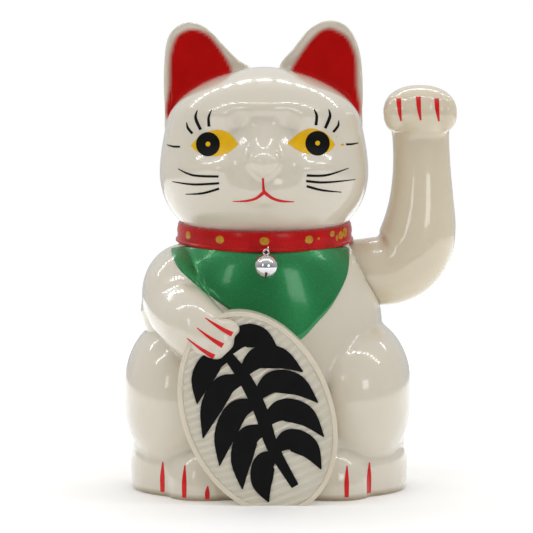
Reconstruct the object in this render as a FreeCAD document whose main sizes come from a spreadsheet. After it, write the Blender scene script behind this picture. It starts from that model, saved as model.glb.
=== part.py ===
"""Beckoning cat figurine with a swinging arm, 200 mm tall. Millimetres, +Z up, face towards -Y.

The origin is the middle of the base plate, on the face it rests on. Every size is a named cell of the
sheet "Sizes", and every sub-part is an object whose sizes and place are bound to those cells.
"""
import FreeCAD, Part
import math
import os
import re

doc = FreeCAD.newDocument("beckoning_cat")
sheet = doc.addObject("Spreadsheet::Sheet", "Sizes")

SIZES = {
    # Moulded body: heights stack up from the floor, widths and depths are half sizes.
    "torso_height": 110.0,
    "head_height": 71.0,
    "ear_height": 19.0,
    "foot_half_width": 59.0,
    "foot_half_depth": 42.0,
    "haunch_half_width": 61.3,
    "haunch_half_depth": 43.0,
    "shoulder_half_width": 49.0,
    "shoulder_half_depth": 38.5,
    "neck_half_width": 33.5,
    "neck_half_depth": 31.0,
    "cheek_half_width": 44.5,
    "cheek_half_depth": 41.0,
    "brow_half_width": 41.5,
    "brow_half_depth": 37.0,
    "ear_half_width": 16.0,
    "ear_half_depth": 8.0,
    "ear_setback": 3.4,
    "body_shift": 2.0,
    "shell_wall": 2.2,
    "parting_shift": 2.0,
    # Collar and bell.
    "collar_width": 8.6,
    "collar_thickness": 3.6,
    "collar_slope": 5.8,
    "bell_radius": 5.0,
    "bell_wall": 0.5,
    "bell_gap": 0.6,
    "pellet_radius": 1.4,
    "ring_radius": 1.1,
    "ring_wire": 0.3,
    "ring_play": 0.1,
    # Coin plaque held in front of the belly.
    "coin_half_length": 43.3,
    "coin_half_width": 30.7,
    "coin_wall": 2.4,
    "coin_depth": 17.0,
    "coin_lean": 22.0,
    "coin_level": 38.0,
    "coin_offset": 4.25,
    "coin_face": 53.0,
    "coin_peg_radius": 3.0,
    # Swinging arm.
    "arm_root_radius": 14.6,
    "arm_wall": 1.8,
    "arm_reach": 65.7,
    "arm_height": 80.4,
    "arm_root_start": 30.0,
    "forearm_radius": 12.8,
    "elbow_radius": 15.8,
    "paw_radius": 16.0,
    "arm_clearance": 1.2,
    "pivot_drop": 2.4,
    "pivot_shift": 5.0,
    # Swing mechanism.
    "shaft_radius": 1.5,
    "running_fit": 0.06,
    "hub_radius": 5.0,
    "hub_half_length": 9.0,
    "lever_width": 7.0,
    "lever_thickness": 4.0,
    "weight_width": 22.0,
    "weight_depth": 12.0,
    "weight_height": 12.0,
    "weight_shift": 0.6,
    "pan_thickness": 2.0,
    "magnet_radius": 7.0,
    "magnet_thickness": 4.0,
    "air_gap": 2.5,
    "frame_half_span": 16.0,
    "frame_wall": 2.4,
    "frame_depth": 16.0,
    "frame_foot": 14.0,
    "shelf_level": 22.0,
    "bobbin_radius": 10.0,
    "bobbin_height": 8.6,
    "bobbin_core": 4.0,
    "bobbin_flange": 1.0,
    "board_width": 26.0,
    "board_depth": 30.0,
    "board_thickness": 1.6,
    "board_level": 6.0,
    # Base, screws and battery.
    "plate_thickness": 2.4,
    "plate_clearance": 0.2,
    "screw_radius": 1.4,
    "screw_clearance": 0.1,
    "screw_head_radius": 2.8,
    "screw_head_height": 1.8,
    "boss_radius": 4.5,
    "boss_height": 12.0,
    "boss_angle": 40.0,
    "boss_inset": 3.4,
    "pillar_height": 5.6,
    "cell_radius": 7.1,
    "cell_length": 49.2,
    "cell_nub": 1.2,
    "bay_front": 15.4,
    "bay_clearance": 0.5,
    "contact_bump_radius": 2.4,
    "cell_nub_radius": 2.7,
    "door_tab_width": 10.0,
    "door_tab_thickness": 1.2,
    "door_tab_height": 2.0,
    "capacitor_radius": 3.0,
    "capacitor_height": 7.0,
    "transistor_radius": 2.3,
    "transistor_height": 4.5,
    "bay_wall": 1.6,
    "contact_room": 3.2,
    "contact_thickness": 0.5,
    "door_clearance": 0.3,
    "door_recess": 0.3,
    "door_pin_radius": 0.8,
    "door_pin_length": 2.0,
    "wire_radius": 0.6,
}

for row, (alias, value) in enumerate(SIZES.items(), start=1):
    sheet.set("A%d" % row, alias)
    sheet.set("B%d" % row, str(value))
    sheet.setAlias("B%d" % row, alias)
doc.recompute()

NODES = {}
WORD = re.compile(r"[a-z_]+")


def size(expression):
    """Point each size's name in an expression at its cell of the sheet."""
    return WORD.sub(lambda word: "Sizes." + word.group() if word.group() in SIZES else word.group(),
                    str(expression))


def number(alias):
    """A cell's number, for the shapes that Part's own functions make."""
    return float(sheet.get(alias))


def place(thing, at, axis=(0, 0, 1), turn=0):
    """Turn an object about an axis and bind its position to three expressions."""
    thing.Placement = FreeCAD.Placement(FreeCAD.Vector(0, 0, 0),
                                        FreeCAD.Rotation(FreeCAD.Vector(*axis), turn))
    for letter, expression in zip("xyz", at):
        thing.setExpression("Placement.Base." + letter, size(expression))
    return thing


def box(name, lengths, at):
    """A block whose low corner is at a place."""
    thing = doc.addObject("Part::Box", name)
    for side, expression in zip(("Length", "Width", "Height"), lengths):
        thing.setExpression(side, size(expression))
    return place(thing, at)


def block(name, lengths, middle):
    """A block about its middle point."""
    corner = ["(%s) - (%s) / 2" % (centre, length) for centre, length in zip(middle, lengths)]
    return box(name, lengths, corner)


AXES = {"x": ((0, 1, 0), 90), "y": ((1, 0, 0), -90), "z": ((0, 0, 1), 0)}


def rod(name, radius, length, at, along="z"):
    """A cylinder that starts at a place and runs along one axis."""
    thing = doc.addObject("Part::Cylinder", name)
    thing.setExpression("Radius", size(radius))
    thing.setExpression("Height", size(length))
    return place(thing, at, *AXES[along])


def ball(name, radius, at):
    """A sphere about a place."""
    thing = doc.addObject("Part::Sphere", name)
    thing.setExpression("Radius", size(radius))
    return place(thing, at)


def ring(name, radius, wire, at, along="z"):
    """A wire ring about a place, its hole along one axis."""
    thing = doc.addObject("Part::Torus", name)
    thing.setExpression("Radius1", size(radius))
    thing.setExpression("Radius2", size(wire))
    return place(thing, at, *AXES[along])


def ellipse(name, major, minor, at, axis=(0, 0, 1), turn=0):
    """An ellipse, its long radius first."""
    thing = doc.addObject("Part::Ellipse", name)
    thing.setExpression("MajorRadius", size(major))
    thing.setExpression("MinorRadius", size(minor))
    return place(thing, at, axis, turn)


def loft(name, sections):
    """A smooth closed solid through a list of closed outlines."""
    thing = doc.addObject("Part::Loft", name)
    thing.Sections = sections
    thing.Solid = True
    thing.Ruled = False
    return thing


def cut(name, base, *tools):
    """Take one or more tools off a base, one after another."""
    for number, tool in enumerate(tools, start=1):
        thing = doc.addObject("Part::Cut", name if number == len(tools) else "%s_cut%d" % (name, number))
        thing.Base = base
        thing.Tool = tool
        base = thing
    return base


def fuse(name, *parts):
    """Join solids that touch or overlap into one."""
    thing = doc.addObject("Part::MultiFuse", name)
    thing.Shapes = list(parts)
    return thing


def common(name, first, second):
    """What two solids share."""
    thing = doc.addObject("Part::Common", name)
    thing.Base = first
    thing.Tool = second
    return thing


def group(name, *parts):
    """Separate like solids that share one node."""
    thing = doc.addObject("Part::Compound", name)
    thing.Links = list(parts)
    return thing


def node(label, thing):
    """Record a finished sub-part under the name of its file."""
    thing.Label = label
    NODES[label] = thing
    return thing


# ---- Driving levels that several sub-parts share ------------------------------------------------
PIVOT_LEVEL = "(torso_height - pivot_drop - arm_root_radius)"
SHELF_TOP = "(shelf_level + frame_wall)"
MAGNET_LEVEL = "(%s + bobbin_height + air_gap)" % SHELF_TOP
WEIGHT_LEVEL = "(%s + magnet_thickness + pan_thickness)" % MAGNET_LEVEL
BAY_LEVEL = "(plate_thickness + cell_radius + bay_clearance)"
BAY_HALF_LENGTH = "(cell_length / 2 + cell_nub / 2 + contact_room)"
BAY_HALF_DEPTH = "(cell_radius + bay_clearance)"
BAY_MIDDLE_Y = "(bay_front + %s)" % BAY_HALF_DEPTH

DOOR_HALF_LENGTH = "(%s - 1.3)" % BAY_HALF_LENGTH
DOOR_AXIS_Y = "(%s + %s - door_clearance - door_pin_radius)" % (BAY_MIDDLE_Y, BAY_HALF_DEPTH)
DOOR_AXIS_LEVEL = "(door_recess + door_pin_radius)"
FRAME_SCREW_X = "%d * (frame_half_span + frame_foot - 5)"
BELL_Y = "(body_shift - shoulder_half_depth - bell_gap - bell_radius)"
EYE_LEVEL = "(torso_height * 0.97 - 2.5)"
BELL_LEVEL = "(%s - 2 * ring_radius + 0.5 - bell_radius)" % EYE_LEVEL

# Stations of the moulded body: level, half width, half depth and shift towards the back.
STATIONS = [
    ("torso_height * 0.0", "foot_half_width - 0.8", "foot_half_depth - 0.6", "body_shift + 1"),
    ("torso_height * 0.09", "foot_half_width + 0.4", "foot_half_depth", "body_shift + 1"),
    ("torso_height * 0.2", "foot_half_width - 0.4", "foot_half_depth - 0.6", "body_shift + 1"),
    ("torso_height * 0.4", "haunch_half_width", "haunch_half_depth", "body_shift"),
    ("torso_height * 0.64", "haunch_half_width * 0.4 + shoulder_half_width * 0.6",
     "haunch_half_depth * 0.4 + shoulder_half_depth * 0.6", "body_shift"),
    ("torso_height * 0.78", "shoulder_half_width", "shoulder_half_depth", "body_shift"),
    ("torso_height * 0.9", "shoulder_half_width * 0.45 + neck_half_width * 0.55",
     "shoulder_half_depth * 0.6 + neck_half_depth * 0.4", "body_shift - 0.5"),
    ("torso_height * 0.99", "neck_half_width", "neck_half_depth", "body_shift - 1"),
    ("torso_height + head_height * 0.08", "neck_half_width * 0.7 + cheek_half_width * 0.3",
     "neck_half_depth * 0.75 + cheek_half_depth * 0.25", "body_shift - 2"),
    ("torso_height + head_height * 0.21", "neck_half_width * 0.2 + cheek_half_width * 0.8",
     "neck_half_depth * 0.25 + cheek_half_depth * 0.75", "body_shift - 3"),
    ("torso_height + head_height * 0.36", "cheek_half_width", "cheek_half_depth", "body_shift - 4"),
    ("torso_height + head_height * 0.7", "brow_half_width", "brow_half_depth", "body_shift - 2"),
    ("torso_height + head_height * 0.88", "brow_half_width * 0.8", "brow_half_depth * 0.78", "body_shift - 1"),
    ("torso_height + head_height * 0.97", "brow_half_width * 0.5", "brow_half_depth * 0.48", "body_shift"),
    ("torso_height + head_height", "brow_half_width * 0.2", "brow_half_depth * 0.18", "body_shift"),
]


def body_loft(name, inset, drop=0, top=0):
    """The body's outside, or its hollow when inset by the wall: drop lowers its open bottom."""
    sections = []
    last = len(STATIONS) - 1
    for number, (level, width, depth, shift) in enumerate(STATIONS):
        lower = drop if number == 0 else (top if number == last else 0)
        sections.append(ellipse("%s_%02d" % (name, number), "%s - %s" % (width, inset),
                                "%s - %s" % (depth, inset), ("0", shift, "%s - %s" % (level, lower))))
    return loft(name, sections)


def ear(name, side):
    """One ear: a tapered blade that leans slightly outwards."""
    crown = "torso_height + head_height"
    middle = "%d * (brow_half_width - ear_half_width + 1)" % side
    blade = [
        ("ear_half_width", "ear_half_depth", middle, "%s - 20" % crown),
        ("ear_half_width * 0.8", "ear_half_depth * 0.85", middle + " + %d * 1.5" % side, crown),
        ("ear_half_width * 0.42", "ear_half_depth * 0.6", middle + " + %d * 3" % side,
         "%s + ear_height * 0.7" % crown),
        ("ear_half_width * 0.16", "ear_half_depth * 0.25", middle + " + %d * 3.5" % side,
         "%s + ear_height" % crown),
    ]
    return loft(name, [ellipse("%s_%d" % (name, number), wide, deep, (x, "parting_shift + ear_setback + ear_half_depth", level))
                       for number, (wide, deep, x, level) in enumerate(blade)])


def lump(name, radii, at, axis=(0, 0, 1), turn=0):
    """An egg shape: its half sizes along X, Y and Z before it is turned."""
    thing = doc.addObject("Part::Ellipsoid", name)
    thing.setExpression("Radius2", size(radii[0]))
    thing.setExpression("Radius3", size(radii[1]))
    thing.setExpression("Radius1", size(radii[2]))
    thing.Angle1 = -90
    return place(thing, at, axis, turn)


def moulded_lumps():
    """What stands proud of the body: muzzle, coin arm and front paws."""
    crease = "torso_height * 0.64"
    lumps = [
        lump("muzzle", ("12", "8", "9"), ("0", "body_shift - 4 - cheek_half_depth + 2",
                                         "torso_height + head_height * 0.36")),
        lump("upper_arm", ("14", "14", "21"), ("-shoulder_half_width + 8.5", "body_shift - 16",
                                              "torso_height * 0.76")),
        lump("lower_arm", ("19", "9", "9.5"), ("-shoulder_half_width + 20", "body_shift - 42", crease),
             (0, 0.3, 1), -20),
    ]
    for side in (-1, 1):
        lumps.append(lump("front_paw_%s" % ("left" if side > 0 else "right"), ("19", "12", "15"),
                          ("%d * foot_half_width * 0.6" % side, "body_shift + 1 - foot_half_depth * 0.74", "4")))
    return lumps


def boss_places():
    """Where the four base screws stand, round the inside of the wall."""
    for along, across in ((1, 1), (-1, 1), (-1, -1), (1, -1)):
        yield ("%d * (min(foot_half_width; haunch_half_width) - shell_wall - boss_inset) * cos(boss_angle)" % along,
               "body_shift + 1 + %d * (min(foot_half_depth; haunch_half_depth) - shell_wall - boss_inset)"
               " * sin(boss_angle)" % across)


def make_shells():
    """The moulded body with head and ears, split into a front and a rear shell."""
    outside = body_loft("body_outside", "0")
    skin = fuse("body_skin", outside, ear("left_ear", 1), ear("right_ear", -1), *moulded_lumps())
    hollow = body_loft("body_hollow", "shell_wall", "1", "shell_wall")
    wall = cut("body_wall", skin, hollow)
    bosses = []
    bores = []
    for number, (x, y) in enumerate(boss_places()):
        bosses.append(rod("boss_%d" % number, "boss_radius", "boss_height",
                          (x, y, "plate_thickness")))
        bores.append(rod("boss_bore_%d" % number, "screw_radius + screw_clearance", "boss_height - 2",
                         (x, y, "plate_thickness - 1")))
    inner = common("boss_group", fuse("boss_set", *bosses), outside)
    opening = rod("arm_opening", "arm_root_radius + arm_clearance", "shoulder_half_width + 20",
                  ("arm_root_start", "pivot_shift", PIVOT_LEVEL), "x")
    holes = [rod("coin_hole_%d" % number, "coin_peg_radius + screw_clearance", "30",
                 ("-coin_offset", "-haunch_half_depth - 5", "coin_level + %d * 12" % side), "y")
             for number, side in enumerate((-1, 1))]
    whole = cut("body_whole", fuse("body_ribbed", wall, inner), opening, *bores, *holes)
    reach = "(haunch_half_width + 40)"
    tall = "(torso_height + head_height + ear_height + 20)"
    ahead = box("ahead", ("2 * " + reach, reach, tall), ("-" + reach, "parting_shift - " + reach, "0"))
    behind = box("behind", ("2 * " + reach, reach, tall), ("-" + reach, "parting_shift", "0"))
    node("front_shell", common("front_half", whole, ahead))
    node("rear_shell", common("rear_half", whole, behind))


def make_collar(skin):
    """The collar band: a sloping ring that fits the neck."""
    level = "torso_height * 0.97"
    band = doc.addObject("Part::Ellipse", "collar_line")
    band.setExpression("MajorRadius", size("neck_half_width + collar_thickness"))
    band.setExpression("MinorRadius", size("neck_half_depth + collar_thickness"))
    sweep = doc.addObject("Part::Extrusion", "collar_block")
    sweep.Base = band
    sweep.DirMode = "Normal"
    sweep.Solid = True
    sweep.setExpression("LengthFwd", size("collar_width"))
    place(sweep, ("0", "body_shift - 1", level), (1, 0, 0), 0)
    sweep.setExpression("Placement.Rotation.Angle", size("collar_slope"))
    node("collar_band", cut("collar", sweep, skin))


def make_bell():
    """The jingle bell: two pressed halves, a pellet, an eye, and the wire that hangs it from the collar."""
    middle = ("0", BELL_Y, BELL_LEVEL)
    hollow = cut("bell_wall_ball", ball("bell_ball", "bell_radius", middle),
                 ball("bell_inside", "bell_radius - bell_wall", middle))
    side = "4 * bell_radius"
    half = "2 * bell_radius"
    over = block("bell_over", (side, side, half), ("0", BELL_Y, BELL_LEVEL + " + bell_radius"))
    under = block("bell_under", (side, side, half), ("0", BELL_Y, BELL_LEVEL + " - bell_radius"))
    eye = cut("bell_eye", ring("bell_eye_ring", "ring_radius", "ring_wire",
                               ("0", BELL_Y, EYE_LEVEL + " - ring_radius"), "y"),
              ball("bell_inside_again", "bell_radius - bell_wall", middle))
    node("bell_upper_half", fuse("bell_upper", common("bell_cap", hollow, over), eye))
    long_way = "2 * bell_radius - 3"
    slot = block("bell_slot", (long_way, "1", half), ("0", BELL_Y, BELL_LEVEL + " - bell_radius"))
    cross = block("bell_slot_across", ("1", long_way, half), ("0", BELL_Y, BELL_LEVEL + " - bell_radius"))
    node("bell_lower_half", cut("bell_lower", common("bell_lower_ball", hollow, under), slot, cross))
    node("bell_pellet", ball("pellet", "pellet_radius",
                             ("0", BELL_Y, BELL_LEVEL + " - bell_radius + bell_wall + pellet_radius + 0.1")))
    hanger_level = EYE_LEVEL + " - 2 * ring_wire - ring_play + ring_radius"
    hanger = ring("hanger_ring", "ring_radius", "ring_wire", ("0", BELL_Y, hanger_level), "x")
    stem = rod("hanger_stem", "ring_wire", "bell_radius + bell_gap + 6",
               ("0", BELL_Y + " + ring_radius", hanger_level), "y")
    node("bell_hanger", cut("hanger", fuse("hanger_wire", hanger, stem), doc.getObject("collar"),
                            doc.getObject("body_skin")))


def coin_slab(name, inset, face, depth):
    """An upright oval slab that leans to the side, from its face backwards."""
    outline = doc.addObject("Part::Ellipse", name + "_line")
    outline.setExpression("MajorRadius", size("coin_half_length - %s" % inset))
    outline.setExpression("MinorRadius", size("coin_half_width - %s" % inset))
    slab = doc.addObject("Part::Extrusion", name)
    slab.Base = outline
    slab.DirMode = "Normal"
    slab.Solid = True
    slab.setExpression("LengthFwd", size(depth))
    place(slab, ("-coin_offset", face, "coin_level"))
    upright = FreeCAD.Rotation(FreeCAD.Vector(1, 0, 0), -90)
    lean = FreeCAD.Rotation(FreeCAD.Vector(0, 1, 0), 90 - number("coin_lean"))
    slab.Placement.Rotation = lean * upright
    return slab


def make_coin():
    """The oval coin: a moulded dish that fits the belly, with a cut foot and two pegs into the shell."""
    skin = doc.getObject("body_skin")
    wide = "3 * coin_half_length"
    below = block("coin_below", (wide, wide, "coin_half_length"),
                  ("-coin_offset", "-coin_face", "-coin_half_length / 2"))
    floor = block("coin_floor", (wide, wide, "coin_half_length"),
                  ("-coin_offset", "-coin_face", "coin_wall - coin_half_length / 2"))
    outside = cut("coin_solid", coin_slab("coin_blank", "0", "-coin_face", "coin_depth"), below, skin)
    inside = cut("coin_room", coin_slab("coin_hollow", "coin_wall", "-coin_face + coin_wall", "coin_depth"), floor)
    pegs = [rod("coin_peg_%d" % count, "coin_peg_radius", "coin_face - haunch_half_depth + 6",
                ("-coin_offset", "-coin_face + coin_wall / 2", "coin_level + %d * 12" % side), "y")
            for count, side in enumerate((-1, 1))]
    node("koban_plaque", fuse("coin", cut("coin_dish", outside, inside), *pegs))


def arm_loft(name, inset, start_back, top_drop):
    """The swinging arm's outside, or its hollow when inset by the wall."""
    bend = [
        ("arm_root_radius", "arm_root_radius", "arm_root_start - %s" % start_back, "0", "0", 90),
        ("arm_root_radius", "arm_root_radius", "arm_root_start + 14", "0", "0", 90),
        ("elbow_radius + 1.2", "elbow_radius - 0.3", "arm_reach - 8.2", "0", "arm_height * 0.044", 50),
        ("elbow_radius", "elbow_radius - 1", "arm_reach - 0.7", "0", "arm_height * 0.19", 8),
        ("forearm_radius + 0.9", "forearm_radius + 0.2", "arm_reach + 0.4", "0", "arm_height * 0.4", 0),
        ("forearm_radius - 0.4", "forearm_radius - 0.6", "arm_reach", "0", "arm_height * 0.66", 0),
        ("paw_radius - 0.5", "paw_radius - 1.5", "arm_reach - 0.4", "-2", "arm_height * 0.8", 0),
        ("paw_radius - 2", "paw_radius - 3", "arm_reach - 0.4", "-3", "arm_height * 0.92", 0),
        ("paw_radius * 0.42", "paw_radius * 0.38", "arm_reach - 0.4", "-3",
         "arm_height - %s" % top_drop, 0),
    ]
    sections = []
    for step, (wide, deep, x, y, rise, turn) in enumerate(bend):
        sections.append(ellipse("%s_%d" % (name, step), "%s - %s" % (wide, inset), "%s - %s" % (deep, inset),
                                (x, "pivot_shift + " + y, "%s + %s" % (PIVOT_LEVEL, rise)), (0, 1, 0), turn))
    return loft(name, sections)


def make_arm():
    """The waving arm: two moulded halves and the plug in its root that the shaft presses into."""
    wall = cut("arm_wall_loft", arm_loft("arm_outside", "0", "0", "0"),
               arm_loft("arm_hollow", "arm_wall", "1", "arm_wall"))
    reach = "2 * arm_height"
    ahead = box("arm_ahead", (reach, reach, reach),
                ("0", "pivot_shift - " + reach, PIVOT_LEVEL + " - arm_height / 2"))
    behind = box("arm_behind", (reach, reach, reach), ("0", "pivot_shift", PIVOT_LEVEL + " - arm_height / 2"))
    node("arm_front_half", common("arm_front", wall, ahead))
    node("arm_rear_half", common("arm_rear", wall, behind))
    plug = rod("arm_plug", "arm_root_radius - arm_wall", "6", ("arm_root_start + 1", "pivot_shift", PIVOT_LEVEL), "x")
    bore = rod("arm_plug_bore", "shaft_radius", "8", ("arm_root_start", "pivot_shift", PIVOT_LEVEL), "x")
    node("arm_hub", cut("arm_plug_bored", common("arm_plug_fitted", plug, doc.getObject("arm_hollow")), bore))


def make_pendulum():
    """The shaft, the lever that hangs from it, and the weight and magnet at its foot."""
    shaft_start = "(-frame_half_span - frame_wall - 2)"
    node("pivot_shaft", rod("shaft", "shaft_radius", "arm_root_start + 7 - %s" % shaft_start,
                            (shaft_start, "pivot_shift", PIVOT_LEVEL), "x"))
    hub = rod("lever_hub", "hub_radius", "2 * hub_half_length",
              ("-hub_half_length", "pivot_shift", PIVOT_LEVEL), "x")
    stem = box("lever_stem", ("lever_width", "lever_thickness", "%s - %s" % (PIVOT_LEVEL, WEIGHT_LEVEL)),
               ("-lever_width / 2", "pivot_shift - lever_thickness / 2", WEIGHT_LEVEL))
    pan = box("lever_pan", ("weight_width", "weight_depth", "pan_thickness"),
              ("-weight_width / 2", "pivot_shift - weight_depth / 2", WEIGHT_LEVEL + " - pan_thickness"))
    bore = rod("lever_bore", "shaft_radius", "2 * hub_half_length + 2",
               ("-hub_half_length - 1", "pivot_shift", PIVOT_LEVEL), "x")
    node("pendulum_lever", cut("lever", fuse("lever_solid", hub, stem, pan), bore))
    weight = box("weight_block", ("weight_width", "weight_depth", "weight_height"),
                 ("-weight_width / 2", "pivot_shift - weight_depth / 2 + weight_shift", WEIGHT_LEVEL))
    node("counterweight", cut("weight", weight, stem))
    node("drive_magnet", rod("magnet", "magnet_radius", "magnet_thickness", ("0", "pivot_shift", MAGNET_LEVEL)))


def make_frame():
    """The frame that carries the shaft and the coil, and its two screws."""
    foot_level = "(plate_thickness + pillar_height)"
    top = "(%s + hub_radius + 2)" % PIVOT_LEVEL
    front = "pivot_shift - frame_depth / 2"
    parts = [box("shelf", ("2 * frame_half_span + 2 * frame_wall", "2 * bobbin_radius + 4", "frame_wall"),
                 ("-frame_half_span - frame_wall", "pivot_shift - bobbin_radius - 2", "shelf_level"))]
    bores = []
    for side in (-1, 1):
        inner = "%d * (frame_half_span + frame_wall / 2)" % side
        foot = "%d * (frame_half_span + frame_foot / 2)" % side
        tag = "left" if side > 0 else "right"
        parts.append(box("upright_" + tag, ("frame_wall", "frame_depth", "%s - %s" % (top, foot_level)),
                         (inner + " - frame_wall / 2", front, foot_level)))
        parts.append(box("foot_" + tag, ("frame_foot", "frame_depth", "frame_wall"),
                         (foot + " - frame_foot / 2", front, foot_level)))
        bores.append(rod("bearing_" + tag, "shaft_radius + running_fit", "frame_wall + 2",
                         (inner + " - frame_wall / 2 - 1", "pivot_shift", PIVOT_LEVEL), "x"))
        bores.append(rod("foot_hole_" + tag, "screw_radius + screw_clearance", "frame_wall + 2",
                         (FRAME_SCREW_X % side, "pivot_shift", foot_level + " - 1")))
    node("mechanism_frame", cut("frame", fuse("frame_solid", *parts), *bores))
    screws = []
    for side in (-1, 1):
        screws.append(screw("frame_screw_%d" % (side + 1), (FRAME_SCREW_X % side, "pivot_shift",
                                                           foot_level + " + frame_wall"),
                            "frame_wall + pillar_height - 1", 1))
    node("frame_screws", group("frame_screw_pair", *screws))


def screw(name, at, length, up):
    """A round-headed screw whose head seats at a place: up is 1 with the head on top, -1 below."""
    x, y, z = at
    head_low = z if up > 0 else "%s - screw_head_height" % z
    shank_low = "%s - (%s)" % (z, length) if up > 0 else z
    return fuse(name, rod(name + "_head", "screw_head_radius", "screw_head_height", (x, y, head_low)),
                rod(name + "_shank", "screw_radius", length, (x, y, shank_low)))


def make_coil():
    """The bobbin on the frame's shelf and the drive winding on it."""
    at = ("0", "pivot_shift", SHELF_TOP)
    window = "(bobbin_height - 2 * bobbin_flange)"
    top_at = ("0", "pivot_shift", SHELF_TOP + " + bobbin_height - bobbin_flange")
    window_at = ("0", "pivot_shift", SHELF_TOP + " + bobbin_flange")
    body = fuse("bobbin_solid", rod("bobbin_low", "bobbin_radius", "bobbin_flange", at),
                rod("bobbin_top", "bobbin_radius", "bobbin_flange", top_at),
                rod("bobbin_post", "bobbin_core", "bobbin_height", at))
    node("coil_bobbin", cut("bobbin", body, rod("bobbin_bore", "bobbin_core - 1.2", "bobbin_height", at)))
    node("drive_coil", cut("winding", rod("winding_outer", "bobbin_radius - 0.8", window, window_at),
                           rod("winding_inner", "bobbin_core", window, window_at)))


def make_board():
    """The drive circuit: the board, its capacitor and its transistor."""
    middle_y = "(pivot_shift - board_depth / 2)"
    top = "board_level + board_thickness"
    node("circuit_board", box("board", ("board_width", "board_depth", "board_thickness"),
                              ("-board_width / 2", middle_y + " - board_depth / 2", "board_level")))
    node("board_capacitor", rod("capacitor", "capacitor_radius", "capacitor_height",
                                ("-board_width / 4", middle_y + " - board_depth / 4", top)))
    can = rod("transistor_can", "transistor_radius", "transistor_height",
              ("board_width / 4", middle_y + " - board_depth / 4", top))
    flat = block("transistor_flat", ("6", "3", "12"), ("board_width / 4", middle_y + " - board_depth / 4 - 2.9", top))
    node("board_transistor", cut("transistor", can, flat))


def plate_ellipse(name, inset, low, height):
    """An upright-sided slab with the outline of the body's open bottom, less an inset."""
    outline = ellipse(name + "_line", "foot_half_width - 0.8 - shell_wall - %s" % inset,
                      "foot_half_depth - 0.6 - shell_wall - %s" % inset, ("0", "body_shift + 1", low))
    slab = doc.addObject("Part::Extrusion", name)
    slab.Base = outline
    slab.DirMode = "Normal"
    slab.Solid = True
    slab.setExpression("LengthFwd", size(height))
    return slab


def make_base():
    """The base plate with the battery bay, frame pillars and board ribs, and its four screws."""
    plate = plate_ellipse("plate_slab", "plate_clearance", "0", "plate_thickness")
    rail_height = "cell_radius"
    outer = (BAY_HALF_LENGTH + " * 2 + 2 * bay_wall", BAY_HALF_DEPTH + " * 2 + 2 * bay_wall", rail_height)
    inner = (BAY_HALF_LENGTH + " * 2", BAY_HALF_DEPTH + " * 2", rail_height + " + 2")
    bay = cut("bay_walls", block("bay_outer", outer, ("0", BAY_MIDDLE_Y, "plate_thickness + %s / 2" % rail_height)),
              block("bay_inner", inner, ("0", BAY_MIDDLE_Y, "plate_thickness + %s / 2" % rail_height)))
    parts = [plate, bay]
    holes = [block("bay_mouth", (DOOR_HALF_LENGTH + " * 2 + 2 * door_clearance", BAY_HALF_DEPTH + " * 2",
                                 "4 * plate_thickness"), ("0", BAY_MIDDLE_Y, "0"))]
    for side in (-1, 1):
        tag = "left" if side > 0 else "right"
        parts.append(rod("pillar_" + tag, "boss_radius - 0.5", "pillar_height",
                         (FRAME_SCREW_X % side, "pivot_shift", "plate_thickness")))
        holes.append(rod("pillar_bore_" + tag, "screw_radius + screw_clearance", "pillar_height",
                         (FRAME_SCREW_X % side, "pivot_shift", "plate_thickness + 0.5")))
        parts.append(box("board_rib_" + tag, ("board_width", "2", "board_level - plate_thickness"),
                         ("-board_width / 2", "pivot_shift - board_depth / 2 - 1 + %d * (board_depth / 2 - 2)" % side,
                          "plate_thickness")))
        holes.append(rod("door_socket_" + tag, "door_pin_radius + running_fit", "door_pin_length + door_clearance",
                         ("%s - (door_pin_length + door_clearance) / 2" %
                          ("%d * (%s + door_clearance + (door_pin_length + door_clearance) / 2)"
                           % (side, DOOR_HALF_LENGTH)), DOOR_AXIS_Y, DOOR_AXIS_LEVEL), "x"))
    screws = []
    for count, (x, y) in enumerate(boss_places()):
        holes.append(rod("plate_hole_%d" % count, "screw_radius + screw_clearance", "2 * plate_thickness",
                         (x, y, "-1")))
        holes.append(rod("plate_sink_%d" % count, "screw_head_radius + screw_clearance", "screw_head_height + 1",
                         (x, y, "-0.8")))
        screws.append(screw("plate_screw_%d" % count, (x, y, "screw_head_height + 0.2"), "boss_height - 3", -1))
    node("base_plate", cut("plate", fuse("plate_solid", *parts), *holes))
    node("base_screws", group("plate_screw_set", *screws))


def make_door():
    """The battery door: a flat leaf with a stub pin at each end of its rear edge and a latch tab."""
    leaf_depth = BAY_HALF_DEPTH + " * 2 - 2 * door_clearance - door_pin_radius"
    leaf = box("door_leaf", (DOOR_HALF_LENGTH + " * 2", leaf_depth, "2 * door_pin_radius"),
               ("-" + DOOR_HALF_LENGTH, "%s - (%s)" % (DOOR_AXIS_Y, leaf_depth), "door_recess"))
    edge = rod("door_edge", "door_pin_radius", DOOR_HALF_LENGTH + " * 2",
               ("-" + DOOR_HALF_LENGTH, DOOR_AXIS_Y, DOOR_AXIS_LEVEL), "x")
    pins = rod("door_pins", "door_pin_radius", "(%s + door_pin_length) * 2" % DOOR_HALF_LENGTH,
               ("-%s - door_pin_length" % DOOR_HALF_LENGTH, DOOR_AXIS_Y, DOOR_AXIS_LEVEL), "x")
    tab = box("door_tab", ("door_tab_width", "door_tab_thickness", "door_tab_height"),
              ("-door_tab_width / 2", "%s - (%s) + door_tab_thickness" % (DOOR_AXIS_Y, leaf_depth),
               "door_recess + 2 * door_pin_radius"))
    node("battery_door", fuse("door", leaf, edge, pins, tab))


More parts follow.
